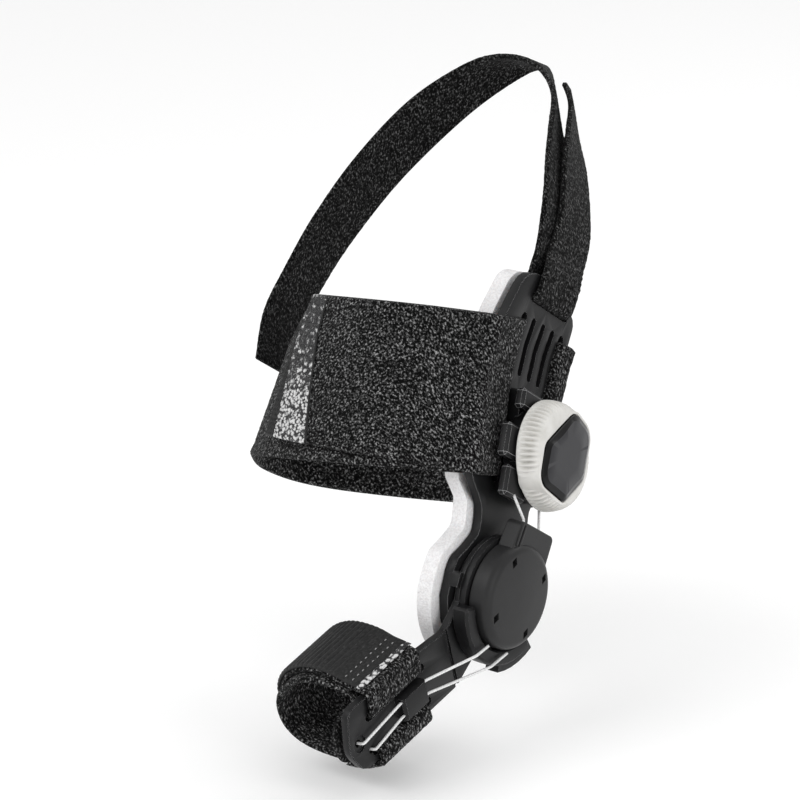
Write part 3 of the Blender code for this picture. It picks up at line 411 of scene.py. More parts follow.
def loop_cloth(name, dark, light, speck):
    """Brushed loop pile: worm-like grey loops over black, with a few bright fibres."""
    material, tree, shader = new_material(name, (0.03, 0.03, 0.03), 0.93, Sheen_Weight=0.04,
                                          Sheen_Roughness=0.4)
    shader.inputs["Specular IOR Level"].default_value = 0.1
    place = object_place(tree, (1.0, 1.5, 0.8), -FRAME_TILT)
    worms = noise(tree, place, 1400.0, 2.0, 0.6)
    wide = noise(tree, place, 45.0, 3.0)
    body = ramp(tree, worms, [(0.46, dark), (0.53, 0.3 * (dark + light)), (0.60, light), (0.69, speck)])
    tone = ramp(tree, wide, [(0.3, 0.72), (0.7, 1.0)])
    shaded = add(tree, "ShaderNodeMix", data_type="RGBA", blend_type="MULTIPLY")
    shaded.inputs[0].default_value = 1.0
    tree.links.new(body, shaded.inputs[6])
    tree.links.new(tone, shaded.inputs[7])
    tree.links.new(shaded.outputs[2], shader.inputs["Base Color"])
    bump(tree, shader, worms, 0.0006, 0.8)
    return material


def ribbed_cloth():
    """Tight dark webbing with fine threads."""
    material, tree, shader = new_material("ribbed_webbing", (0.02, 0.02, 0.021), 0.5, Specular_IOR_Level=0.3)
    place = object_place(tree, (1.0, 0.35, 1.6), -ARM_TILT)
    threads = noise(tree, place, 1900.0, 2.0)
    tree.links.new(ramp(tree, threads, [(0.35, 0.004), (0.62, 0.018), (0.8, 0.045)]),
                   shader.inputs["Base Color"])
    tree.links.new(spread(tree, threads, 0.45, 0.75), shader.inputs["Roughness"])
    bump(tree, shader, threads, 0.0002, 0.7)
    return material


def hook_mesh_painted_glints():
    """Glossy moulded hooks in rows, with painted glints: white specks in the base colour, denser toward the
    lower, toe side of the strip.
    """
    material, tree, shader = new_material("hook_mesh_painted_glints", (0.05, 0.05, 0.05), 0.2, Specular_IOR_Level=0.4)
    place = object_place(tree, (1.0, 0.8, 1.3), -FRAME_TILT)
    dots = cells(tree, place, 800.0)
    glint = noise(tree, place, 480.0, 3.0, 0.65)
    patch = noise(tree, place, 60.0, 2.0)
    spark = ramp(tree, dots, [(0.42, 1.0), (0.62, 0.0)])
    height = add(tree, "ShaderNodeSeparateXYZ")
    tree.links.new(place, height.inputs["Vector"])
    # The painted glints grow denser toward the lower, toe side of the strip.
    low = add(tree, "ShaderNodeMapRange")
    low.inputs["From Min"].default_value = 0.8 * 0.082
    low.inputs["From Max"].default_value = 0.8 * 0.044
    low.inputs["To Min"].default_value = -0.06
    low.inputs["To Max"].default_value = 0.18
    tree.links.new(height.outputs["Y"], low.inputs["Value"])
    total = combine(tree, "ADD", glint, low.outputs["Result"])
    chance = ramp(tree, total, [(0.46, 0.0), (0.56, 1.0)])
    region = ramp(tree, patch, [(0.3, 0.55), (0.5, 1.0)])
    share = combine(tree, "MULTIPLY", combine(tree, "MULTIPLY", spark, chance), region)
    # Painted highlight: white specks mixed into the base colour stand in for glints on the hooks.
    tree.links.new(mix(tree, share, (0.014, 0.014, 0.015), (0.74, 0.74, 0.74)),
                   shader.inputs["Base Color"])
    tree.links.new(spread(tree, glint, 0.12, 0.45), shader.inputs["Roughness"])
    bump(tree, shader, dots, 0.0008, 0.9)
    return material


def plastic(name, colour, light, rough, grain, depth):
    """Moulded plastic with a fine eroded grain and faint rubbed patches."""
    material, tree, shader = new_material(name, colour, rough, Specular_IOR_Level=0.22)
    place = object_place(tree)
    fine = noise(tree, place, grain, 3.0, 0.6)
    rubbed = noise(tree, place, 60.0, 5.0, 0.6)
    tree.links.new(mix(tree, ramp(tree, rubbed, [(0.42, 0.0), (0.72, 1.0)]), colour, light),
                   shader.inputs["Base Color"])
    tree.links.new(spread(tree, rubbed, rough - 0.07, rough + 0.09), shader.inputs["Roughness"])
    bump(tree, shader, fine, depth, 0.5)
    return material


def rubber():
    material, tree, shader = new_material("grip_rubber", (0.66, 0.65, 0.62), 0.5, Specular_IOR_Level=0.45)
    shader.inputs["Subsurface Weight"].default_value = 0.12
    shader.inputs["Subsurface Radius"].default_value = (0.0012, 0.0011, 0.001)
    shader.inputs["Subsurface Scale"].default_value = 1.0
    place = object_place(tree)
    soft = noise(tree, place, 220.0, 4.0)
    fine = noise(tree, place, 2600.0, 2.0)
    tree.links.new(ramp(tree, soft, [(0.3, (0.60, 0.59, 0.56)), (0.7, (0.70, 0.69, 0.665))]),
                   shader.inputs["Base Color"])
    tree.links.new(spread(tree, soft, 0.42, 0.58), shader.inputs["Roughness"])
    bump(tree, shader, fine, 0.00006, 0.5)
    return material


def gloss(name, colour, rough, coat):
    material, tree, shader = new_material(name, colour, rough, Coat_Weight=coat, Coat_Roughness=0.06,
                                          Specular_IOR_Level=0.2)
    place = object_place(tree)
    smear = noise(tree, place, 130.0, 4.0)
    tree.links.new(spread(tree, smear, rough - 0.04, rough + 0.1), shader.inputs["Roughness"])
    dim = tuple(0.9 * c for c in colour)
    lit = tuple(1.12 * c for c in colour)
    tree.links.new(ramp(tree, smear, [(0.3, dim), (0.7, lit)]), shader.inputs["Base Color"])
    bump(tree, shader, noise(tree, place, 700.0, 2.0), 0.00003, 0.4)
    return material


def foam():
    """Soft white foam with open cells."""
    material, tree, shader = new_material("white_foam", (0.84, 0.83, 0.835), 0.9)
    shader.inputs["Subsurface Weight"].default_value = 0.2
    shader.inputs["Subsurface Radius"].default_value = (0.002, 0.0018, 0.0017)
    shader.inputs["Subsurface Scale"].default_value = 1.0
    place = object_place(tree)
    pores = cells(tree, place, 1500.0)
    soft = noise(tree, place, 1500.0, 3.0, 0.6)
    tree.links.new(ramp(tree, soft, [(0.35, (0.77, 0.757, 0.762)), (0.6, (0.9, 0.893, 0.9))]),
                   shader.inputs["Base Color"])
    first = bump(tree, shader, soft, 0.0003, 0.5)
    bump(tree, shader, pores, 0.00025, 0.6, first)
    return material


def lace_finish():
    material, tree, shader = new_material("pale_cable", (0.82, 0.82, 0.81), 0.35, Specular_IOR_Level=0.6)
    place = object_place(tree)
    fibre = noise(tree, place, 2400.0, 2.0)
    tree.links.new(ramp(tree, fibre, [(0.3, 0.6), (0.6, 0.88)]), shader.inputs["Base Color"])
    tree.links.new(spread(tree, fibre, 0.25, 0.5), shader.inputs["Roughness"])
    return material


LOOP = loop_cloth("brushed_loop", 0.001, 0.098, 0.36)
# A darker copy of the brushed loop: painted shade for the heel strap and the toe lining, which lie in shadow.
LOOP_SHADED = loop_cloth("brushed_loop_painted_shade", 0.0012, 0.052, 0.16)
RIBBED = ribbed_cloth()
HOOKS_PAINTED_GLINTS = hook_mesh_painted_glints()
PLASTIC = plastic("black_moulding", (0.008, 0.008, 0.0085), (0.015, 0.015, 0.0155), 0.4, 3600.0, 0.00006)
# Painted highlight: light grey for the bevelled edges of the black mouldings, standing in for the light lines
# along them.
PLASTIC_EDGE_HIGHLIGHT = plastic("black_moulding_painted_edge_highlight", (0.42, 0.42, 0.425), (0.55, 0.55, 0.555), 0.3, 3600.0, 0.00003)
COVER = plastic("cover_moulding", (0.017, 0.017, 0.0175), (0.023, 0.023, 0.0235), 0.38, 2600.0, 0.00008)
RUBBER = rubber()
FACE_GLOSS = gloss("face_gloss", (0.029, 0.029, 0.032), 0.3, 0.05)
RIM_GLOSS = gloss("rim_gloss", (0.001, 0.001, 0.0012), 0.16, 0.04)
FOAM = foam()
PALE_LACE = lace_finish()
THREAD = new_material("stitch_thread", (0.34, 0.34, 0.34), 0.6)[0]


# Instep strap

INSTEP_WIDE = 47.0
INSTEP_THICK = 2.0
INSTEP_SKEW = 0.13
INSTEP_SLANT = 0.26
INSTEP_LAP_DRIFT = 5.5
INSTEP_LAP_NARROWS = 0.05
INSTEP_REACH = 0.965
INSTEP_REACH_FALLS = 0.15
INSTEP_TAB_LONG = 16.0
INSTEP_TAB_THICK = 0.8
INSTEP_TAB_ROWS = 60
PLAIN_END = 6.5
HOOK_PITCH = 1.3
CLOTH_PITCH = 0.72
INSTEP = dict(section=INSTEP_SECTION, wide=88.5, high=62.0, middle=SLOT_MID,
              lines=(SLOT_DORSAL, SLOT_PLANTAR), thick=INSTEP_THICK, bar=PLATE_THICK,
              edges=(FRAME_EDGE_TOP, FRAME_BOTTOM), lap_spans=5.5)


def instep_lay(table):
    """The strap slants over the foot, and its lap drifts to the heel side and narrows a little."""
    skew = INSTEP_SKEW * np.minimum(0.0, table[:, 0] - PLATE_OUT)
    slant = skew - INSTEP_SLANT * np.maximum(0.0, table[:, 1] - SLOT_DORSAL)
    return slant + INSTEP_LAP_DRIFT * table[:, 2], 1.0 - INSTEP_LAP_NARROWS * table[:, 2]


def taper(grid):
    """The foot is slimmer toward the heel, so the loop reaches less far from the frame at that edge."""
    across = np.linspace(-0.5, 0.5, grid.shape[1])[None, :]
    reach = INSTEP_REACH - INSTEP_REACH_FALLS * across
    away = np.minimum(0.0, grid[:, :, 0] - facet_drop(grid[:, :, 1]) - PLATE_IN)
    grid[:, :, 0] += away * (reach - 1.0)
    return grid


def make_instep():
    table = loop_path(pitch=CLOTH_PITCH, **INSTEP)
    table[:, 0] += PLATE_OUT
    shift, share = instep_lay(table)
    grid = taper(band(table, INSTEP_WIDE, STRAP_MID, CLOTH_PITCH, shift, share, True))
    n, m = grid.shape[:2]
    along = np.linspace(0, run_of(table, 2)[-1], n)[:, None]
    wave = 0.16 * np.sin(along / 9.0 + 1.2 * np.sin(np.linspace(0, 5, m))[None, :])
    strap = cloth("instep_wrap", grid, INSTEP_THICK, FRAME_AXES, LOOP, relief=wave, fuzz=0.22, seed=11,
                  side=-1.0)
    run = run_of(table, 2)
    lifted = np.column_stack([outward(table[:, :2], -(INSTEP_THICK / 2 + TAB_LIFT)), table[:, 2]])
    rows, columns = INSTEP_TAB_ROWS, int(INSTEP_WIDE / 0.45)
    across = np.linspace(-0.5, 0.5, columns)
    tab_long = INSTEP_TAB_LONG * (1.07 - 0.72 * across)
    tab_grid = np.zeros((rows, columns, 3))
    for j, part in enumerate(across):
        at = run[-1] - tab_long[j] * np.linspace(1.0, 0.0, rows)
        line = np.stack([np.interp(at, run, lifted[:, k]) for k in range(3)], axis=1)
        shift, share = instep_lay(line)
        y = STRAP_MID + shift + INSTEP_WIDE * share * part
        tab_grid[:, j] = np.stack([line[:, 0] + facet_drop(y), y, line[:, 1]], axis=1)
    tab_grid = taper(tab_grid)
    at = np.linspace(0.0, 1.0, rows)[:, None] * tab_long[None, :]
    beside = np.linspace(0, INSTEP_WIDE, columns)[None, :]
    bumps = np.sin(at * 2 * math.pi / HOOK_PITCH) * np.sin(beside * 2 * math.pi / HOOK_PITCH)
    tab = cloth("instep_hooks", tab_grid, INSTEP_TAB_THICK, FRAME_AXES, HOOKS_PAINTED_GLINTS, relief=0.2 * bumps, fuzz=0.1,
                seed=12, side=-1.0)
    tab.data.materials.append(RIBBED)
    plain = PLAIN_END * np.clip(0.45 - across, 0.0, 1.0)
    for index, polygon in enumerate(tab.data.polygons[:(rows - 1) * (columns - 1)]):
        i, j = divmod(index, columns - 1)
        if tab_long[j] - at[i, j] < plain[j] or i < 2:
            polygon.material_index = 1
    return strap, tab, run[-1]


# Toe strap

TOE_WIDE = 23.6
TOE_THICK = 1.6
TOE_PITCH = 0.55
TOE_TAB_CLEAR = 6.2
TOE_TAB_THICK = 0.9
TOE_TAB_PITCH = 0.25
TOE_LAP_DRIFT = 4.5
RIB_FROM = 9.0
RIB_PITCH = 1.9
PAINTED_GLINT_EDGE = 1.6
STITCH_ROWS = (4.6, 7.4)
STITCH_R = 0.13
TOE = dict(section=TOE_SECTION, wide=31.0, high=25.0, middle=(ARM_SLOT_DORSAL + ARM_SLOT_PLANTAR) / 2,
           lines=(ARM_SLOT_DORSAL, ARM_SLOT_PLANTAR), thick=TOE_THICK, bar=ARM_THICK,
           edges=(ARM_TIP_DORSAL, ARM_PLANTAR), lap_spans=6.5)


def stitch_row(points, faces, grid, normal, row, start, end, pitch, long, lift):
    """A row of short raised threads across a strap, on its outer face."""
    m = grid.shape[1]
    width = np.linalg.norm(grid[row, -1] - grid[row, 0])
    at = start
    while at + long < end:
        steps = []
        for k in range(6):
            share = (at + long * k / 5) / width * (m - 1)
            j = int(share)
            spot = grid[row, j] * (1 - share + j) + grid[row, min(j + 1, m - 1)] * (share - j)
            rise = lift + 0.28 * math.sin(math.pi * k / 5) - 0.12
            steps.append(spot + normal[row, j] * rise)
        base = len(points)
        points.extend(tube_points(np.array(steps), STITCH_R, 6).tolist())
        faces.extend(tube_faces(6, 6, base))
        at += pitch


def make_toe():
    table = loop_path(pitch=TOE_PITCH, **TOE)
    table[:, 0] += ARM_OUT
    grid = band(table, TOE_WIDE, ARM_STRAP_MID, TOE_PITCH, TOE_LAP_DRIFT * table[:, 2])
    strap = cloth("toe_wrap", grid, TOE_THICK, ARM_AXES, LOOP, fuzz=0.2, seed=21, side=-1.0)
    run = run_of(table, 2)
    first = run[table[:, 2] <= 0.0][-1] + TOE_TAB_CLEAR
    kept = table[run >= first]
    lifted = np.column_stack([outward(kept[:, :2], -(TOE_THICK / 2 + TAB_LIFT)), kept[:, 2]])
    fine = resample(lifted, TOE_TAB_PITCH, 2)
    tab_grid = band(fine, TOE_WIDE, ARM_STRAP_MID, 0.5, TOE_LAP_DRIFT * fine[:, 2])
    n, m = tab_grid.shape[:2]
    at = run_of(fine, 2)[:, None]
    ribs = 0.42 * np.abs(np.sin(math.pi * (at - RIB_FROM - 0.5) / RIB_PITCH)) * np.clip(at - RIB_FROM, 0, 1)
    rng = np.random.default_rng(5)
    hooks = 0.3 * (rng.random((n, m)) - 0.4) * (at < 2.6)
    tab = cloth("toe_tab", tab_grid, TOE_TAB_THICK, ARM_AXES, RIBBED, relief=ribs + hooks, fuzz=0.05,
                seed=22, side=-1.0)
    # The tab's last hook rows take the hook material, whose white specks are painted glints.
    tab.data.materials.append(HOOKS_PAINTED_GLINTS)
    for index, polygon in enumerate(tab.data.polygons[:(n - 1) * (m - 1)]):
        if at[index // (m - 1), 0] < PAINTED_GLINT_EDGE:
            polygon.material_index = 1
    normal = -normals_of(tab_grid)
    points, faces = [], []
    for place in STITCH_ROWS:
        row = int(place / TOE_TAB_PITCH)
        stitch_row(points, faces, tab_grid, normal, row, 1.6, TOE_WIDE - 1.4, 2.3, 0.8, TOE_TAB_THICK / 2)
    stitches = mesh_piece("toe_stitches", np.array(points), faces, ARM_AXES, THREAD)
    return strap, tab, stitches, run[-1], run[-1] - first


# Heel strap. Columns: out, far, up, turn and cant in degrees, as in the CAD part

HEEL_WAY = (
    (0.000, 0.000, 0.00, 0, 0), (0.003, 0.120, 0.02, 0, 0), (0.030, 0.320, 0.14, 0, 5),
    (0.095, 0.519, 0.12, 2, 12), (0.165, 0.664, 0.00, 5, 23), (0.258, 0.837, -0.22, 10, 32),
    (0.380, 0.965, -0.50, 12, 22), (0.490, 1.000, -0.62, 12, 0), (0.590, 0.930, -0.54, 12, -22),
    (0.730, 0.710, -0.36, 8, -26), (0.855, 0.380, -0.16, 4, -14), (0.945, 0.064, -0.08, 0, -5),
    (1.005, -0.200, -0.10, 0, 0), (1.027, -0.400, -0.10, 0, 0), (0.990, -0.620, -0.10, 0, 0),
)
HEEL_WIDE = 20.5
HEEL_THICK = 1.6
HEEL_REACH = 70.0
HEEL_LOOP_WIDE = 88.8
HEEL_LAP_SLIDE = 6.5
HEEL_LAP_ROWS = range(8, 45)
HEEL_COLUMNS = 30
HEEL_RIDGE_HIGH = 0.24
HEEL_RIDGE_PITCH = 2.4


def heel_across(turn, cant):
    """Direction of the strap's width."""
    wide = Matrix.Rotation(math.radians(turn), 3, "X") @ Matrix.Rotation(math.radians(cant), 3, "Y")
    return np.array(wide @ Vector((0, 0, 1)))


def make_heel():
    face = PLATE_OUT - FRAME_DROP
    inner = face - PLATE_THICK - GAP - HEEL_THICK / 2
    outer = face + GAP + HEEL_THICK / 2
    start = FRAME_LONG + 0.5
    rows = [(inner - out * HEEL_LOOP_WIDE, start + far * HEEL_REACH, SLOT_MID + up * HEEL_WIDE, turn, cant)
            for out, far, up, turn, cant in HEEL_WAY]
    way = curve(rows, 8)
    turn = slot_turn(HEEL_SLOT_AT, 1, HEEL_THICK, PLATE_THICK)
    slot_rows = np.column_stack([turn[:, 0] + face, turn[:, 1], np.full(len(turn), SLOT_MID),
                                 np.zeros((len(turn), 2))])
    lap = [(outer, FRAME_LONG + 1.3, SLOT_MID, 0.0, 0.0)]
    for i in HEEL_LAP_ROWS:
        along = way[i + 1, :3] - way[i - 1, :3]
        side = np.cross(heel_across(*way[i, 3:]), along)
        side = side / np.linalg.norm(side)
        if side[0] < 0:
            side = -side
        spot = way[i, :3] + side * (HEEL_THICK + GAP)
        spot[2] -= HEEL_LAP_SLIDE * min(1.0, i * 3 / 8 / 5)
        lap.append((*spot, *way[i, 3:]))
    table = np.vstack([way[::-1], slot_rows, np.array(lap)])
    table = soften(resample(table, 0.7, 3), 3)
    across = np.linspace(-0.5, 0.5, HEEL_COLUMNS)
    wide = np.array([heel_across(*row[3:]) for row in table])
    grid = table[:, None, :3] + wide[:, None, :] * (across * HEEL_WIDE)[None, :, None]
    run = run_of(table, 3)
    fold = run_of(np.vstack([way[::-1], slot_rows]), 3)[-1]
    near_fold = np.exp(-((run - fold - 9.0) / 8.0) ** 2)
    ridge = HEEL_RIDGE_HIGH * np.sin(2 * math.pi * run / HEEL_RIDGE_PITCH) * near_fold
    # The heel strap takes the darker copy of the loop cloth, painted shade.
    strap = cloth("heel_wrap", grid, HEEL_THICK, FRAME_AXES, LOOP_SHADED, relief=ridge[:, None], fuzz=0.2,
                  seed=31)
    return strap, run[-1]


# Foam pad and toe lining

def rounded_outline(corners, pitch=6.0):
    points = []
    count = len(corners)
    for i, (y, z, radius) in enumerate(corners):
        here = Vector((y, z))
        back = Vector(corners[i - 1][:2]) - here
        ahead = Vector(corners[(i + 1) % count][:2]) - here
        half = back.angle(ahead) / 2
        reach = radius / math.tan(half)
        middle = here + (back.normalized() + ahead.normalized()).normalized() * (radius / math.sin(half))
        first = here + back.normalized() * reach - middle
        last = here + ahead.normalized() * reach - middle
        turn = first.angle_signed(last)
        steps = max(2, math.ceil(abs(math.degrees(turn)) / pitch))
        for k in range(steps + 1):
            points.append(tuple(middle + Matrix.Rotation(-turn * k / steps, 2) @ first))
    return points


def slab(name, outline, low, high, roundness, matrix, material, move=None):
    """A soft slab of a flat outline, with full edges, cut finely along y so that it can lean."""
    mesh = bpy.data.meshes.new(name)
    work = bmesh.new()
    ring = [work.verts.new((low, y, z)) for y, z in outline]
    base = work.faces.new(ring)
    made = bmesh.ops.extrude_face_region(work, geom=[base])
    for item in made["geom"]:
        if isinstance(item, bmesh.types.BMVert):
            item.co.x = high
    bmesh.ops.recalc_face_normals(work, faces=work.faces)
    rims = [edge for edge in work.edges
            if abs(edge.verts[0].co.x - edge.verts[1].co.x) < 1e-6]
    bmesh.ops.bevel(work, geom=rims, offset=roundness, segments=5, profile=0.6, affect="EDGES",
                    clamp_overlap=True)
    ys = [vert.co.y for vert in work.verts]
    y = math.floor(min(ys)) + SLAB_CUT
    while y < max(ys):
        bmesh.ops.bisect_plane(work, geom=work.verts[:] + work.edges[:] + work.faces[:], dist=1e-5,
                               plane_co=(0, y, 0), plane_no=(0, 1, 0))
        y += SLAB_CUT
    if move:
        for vert in work.verts:
            vert.co.x += move(vert.co.y)
    bmesh.ops.triangulate(work, faces=[face for face in work.faces if len(face.verts) > 4])
    work.to_mesh(mesh)
    work.free()
    mesh.transform(matrix)
    piece = bpy.data.objects.new(name, mesh)
    bpy.context.scene.collection.objects.link(piece)
    mesh.materials.append(material)
    mesh.shade_smooth()
    return piece


def make_foam():
    proud, inset = 3.4, -1.2
    top, bottom = FRAME_TOP, FRAME_BOTTOM
    edge = [
        (-HINGE_END_R, HINGE_END_R, HINGE_END_R), (0.045 * FRAME_LONG, HINGE_END_R, 4.0),
        (0.150 * FRAME_LONG, 0.60 * top, 5.0), (0.225 * FRAME_LONG, 0.70 * top, 5.0),
        (0.305 * FRAME_LONG, FRAME_EDGE_TOP, 5.0), (0.840 * FRAME_LONG, 0.97 * top, 12.0),
        (0.985 * FRAME_LONG, 0.80 * top, 7.0), (1.005 * FRAME_LONG, 0.10 * top, 6.0),
        (0.930 * FRAME_LONG, 0.94 * bottom, 5.0), (0.800 * FRAME_LONG, bottom, 8.0),
        (0.380 * FRAME_LONG, 1.02 * bottom, 6.0), (0.290 * FRAME_LONG, 0.66 * bottom, 5.0),
        (0.160 * FRAME_LONG, 0.72 * bottom, 5.0), (0.045 * FRAME_LONG, -HINGE_END_R, 4.0),
        (-HINGE_END_R, -HINGE_END_R, HINGE_END_R),
    ]
    corners = []
    for y, z, radius in edge:
        more = proud if y < 0.29 * FRAME_LONG else inset
        toe = proud if y < 0 else 0.0
        corners.append((y - toe, z + math.copysign(1.0, z) * more, radius + toe))
    room_from, room_to = SLOT_TOE_END - 8.0, SLOT_TOE_END - 4.0

    def move(y):
        back = 2.3 * min(1.0, max(0.0, (y - room_from) / (room_to - room_from)))
        return float(facet_drop(y)) - back

    return slab("foam_lining", rounded_outline(corners), 0.0, PLATE_IN - GAP, 1.9, FRAME_AXES, FOAM, move)


def make_toe_lining():
    high = 6.4
    corners = [(-31.2, TOE_PAD_DORSAL, 3.0), (-0.985 * ARM_LONG, TOE_PAD_DORSAL, 4.0),
               (-0.985 * ARM_LONG, 0.86 * ARM_PLANTAR, 4.0), (-31.2, 0.86 * ARM_PLANTAR, 3.0)]
    return slab("toe_lining", rounded_outline(corners), high - 1.6, high, 0.7, ARM_AXES, LOOP_SHADED)


# Laces

PORT_LEVEL = 16.2
TUNNEL_X = ARM_OUT + 0.62 * 3.4
LACE_LEVEL = 17.1 + 0.6 + LACE_R
LACES = {
    "lace_upper_1": (FRAME_AXES, ((PORT_LEVEL - 5.0, 29.0, 9.0), (PORT_LEVEL, 20.7, 4.6))),
    "lace_upper_2": (FRAME_AXES, ((PORT_LEVEL - 5.2, 30.5, -7.0), (PORT_LEVEL - 1.0, 20.7, -5.6))),
    "lace_lower_1": (ARM_AXES, (
        (LACE_LEVEL, -14.8, -7.4), (LACE_LEVEL, -20.6, -7.0), (TUNNEL_X, -38.2, -5.0),
        (TUNNEL_X, -50.8, -5.0), (ARM_OUT + 0.85, -66.5, -7.8), (10.0, -67.0, -7.8))),
    "lace_lower_2": (ARM_AXES, (
        (LACE_LEVEL, -7.7, -14.7), (LACE_LEVEL, -15.6, -14.2), (TUNNEL_X, -38.2, -9.4),
        (TUNNEL_X, -50.8, -9.4), (ARM_OUT + 0.85, -62.4, -12.6), (10.0, -62.9, -12.6))),
}


def make_lace(node, matrix, points):
    if len(points) == 2:
        start, end = (np.array(p) for p in points)
        way = (end - start) / np.linalg.norm(end - start)
        points = (start - 2 * way, end + (0, 0.8, 0), end - (0, 1.6, 0))
    path = soften(resample(np.array(points, dtype=float), 0.3, 3), 4)
    sides = 12
    rings = tube_points(path, LACE_R * 1.02, sides, 2.4, 0.2)
    piece = mesh_piece(node.replace("lace", "cable"), rings, tube_faces(len(path), sides), matrix, PALE_LACE)
    mend_normals(piece)
    return piece


# Dial

# Corners of the inlay. Columns: y, z, radius
INLAY_CORNERS = ((0.2, 11.5, 4.0), (13.7, -1.2, 5.0), (10.6, -11.4, 5.0), (-3.7, -11.4, 4.5),
                 (-13.1, -2.6, 2.5), (-11.3, 11.4, 4.2))


def inlay_radius(angles):
    """Outline of the dial's inlay, an uneven hexagon with well rounded corners."""
    points = np.array(rounded_outline(INLAY_CORNERS))
    points = resample(np.vstack([points, points[:1]]), 0.1, 2)
    turn = np.arctan2(points[:, 1], points[:, 0])
    order = np.argsort(turn)
    return np.interp(angles, turn[order], np.hypot(points[order, 0], points[order, 1]), period=2 * math.pi)


def lathe(name, rows, count, materials, row_material=None, matrix=DIAL_AXES):
    """Closed rings about x. Each row is (radius for each step, x for each step)."""
    angles = np.linspace(0, 2 * math.pi, count, endpoint=False)
    points = []
    for radius, level in rows:
        radius = np.broadcast_to(radius, (count,))
        level = np.broadcast_to(level, (count,))
        points.append(np.stack([level, radius * np.cos(angles), radius * np.sin(angles)], axis=1))
    faces, kinds = [], []
    for r in range(len(rows) - 1):
        for k in range(count):
            a, b = r * count + k, r * count + (k + 1) % count
            faces.append((a, b, b + count, a + count))
            kinds.append(row_material[r] if row_material else 0)
    faces.append(tuple(reversed(range(count))))
    kinds.append(row_material[0] if row_material else 0)
    faces.append(tuple((len(rows) - 1) * count + k for k in range(count)))
    kinds.append(row_material[-1] if row_material else 0)
    piece = mesh_piece(name, np.vstack(points), faces, matrix, materials[0])
    for extra in materials[1:]:
        piece.data.materials.append(extra)
    for polygon, kind in zip(piece.data.polygons, kinds):
        polygon.material_index = kind
    mend_normals(piece)
    piece.data.set_sharp_from_angle(angle=math.radians(38))
    return piece


def make_dial():
    count = 480
    angles = np.linspace(0, 2 * math.pi, count, endpoint=False)
    hole = inlay_radius(angles) + 0.3
    groove = (0.5 + 0.5 * np.cos(angles * DIAL_RIBS)) ** 1.5
    floor = -1.9
    rows = [(0.2, floor), (hole, floor), (hole, -0.55), (hole + 0.12, -0.2), (hole + 0.35, -0.08)]
    shoulder = [(13.2, -0.25, 0.0), (14.2, -0.7, 0.2), (14.9, -1.35, 0.6), (15.4, -2.1, 0.9),
                (15.75, -3.0, 1.3), (16.0, -4.0, 1.35), (16.2, -5.0, 1.25), (16.28, -5.8, 0.8),
                (DIAL_R, -6.3, 0.15), (DIAL_R, -6.5, 0.0), (DIAL_R, -6.95, 0.0), (16.1, -7.15, 0.0)]
    for radius, level, depth in shoulder:
        rows.append((np.maximum(radius - depth * groove, hole + 0.9 - 0.08 * level), level))
    rows += [(15.6, -DIAL_HIGH), (0.2, -DIAL_HIGH)]
    grip = lathe("dial_grip", rows, count, [RUBBER])
    outline = inlay_radius(angles)
    face_rows = [(0.2, -1.6), (outline, -1.6), (outline, 0.05), (outline - 0.12, 0.2), (outline - 0.3, 0.28),
                 (outline - 1.7, 0.72), (outline - 1.82, 0.8), (outline * 0.5, 0.8), (0.2, 0.8)]
    face = lathe("dial_face", face_rows, count, [RIM_GLOSS, FACE_GLOSS], [0, 0, 0, 0, 0, 0, 1, 1])
    return grip, face


# Hinge cover

COVER_IN = 13.5
COVER_OUT = 20.3
COVER_R = 15.6
COVER_TAB_OUT = COVER_IN + 5.4
COVER_TAB_REACH = 20.7
DIAMOND_R = 11.8
DIAMOND = (1.75, 1.2)
COVER_SHOULDER = 2.8
TAB_RIDGES_AT = (8.2, 6.6)
TAB_RIDGE_HALF = 0.45


def shape(piece, other, operation):
    """Applies a boolean with another object, which is then removed."""
    change = piece.modifiers.new("change", "BOOLEAN")
    change.operation = operation
    change.solver = "EXACT"
    change.object = other
    graph = bpy.context.evaluated_depsgraph_get()
    graph.update()
    mesh = bpy.data.meshes.new_from_object(piece.evaluated_get(graph))
    piece.modifiers.clear()
    piece.data = mesh
    bpy.data.objects.remove(other)


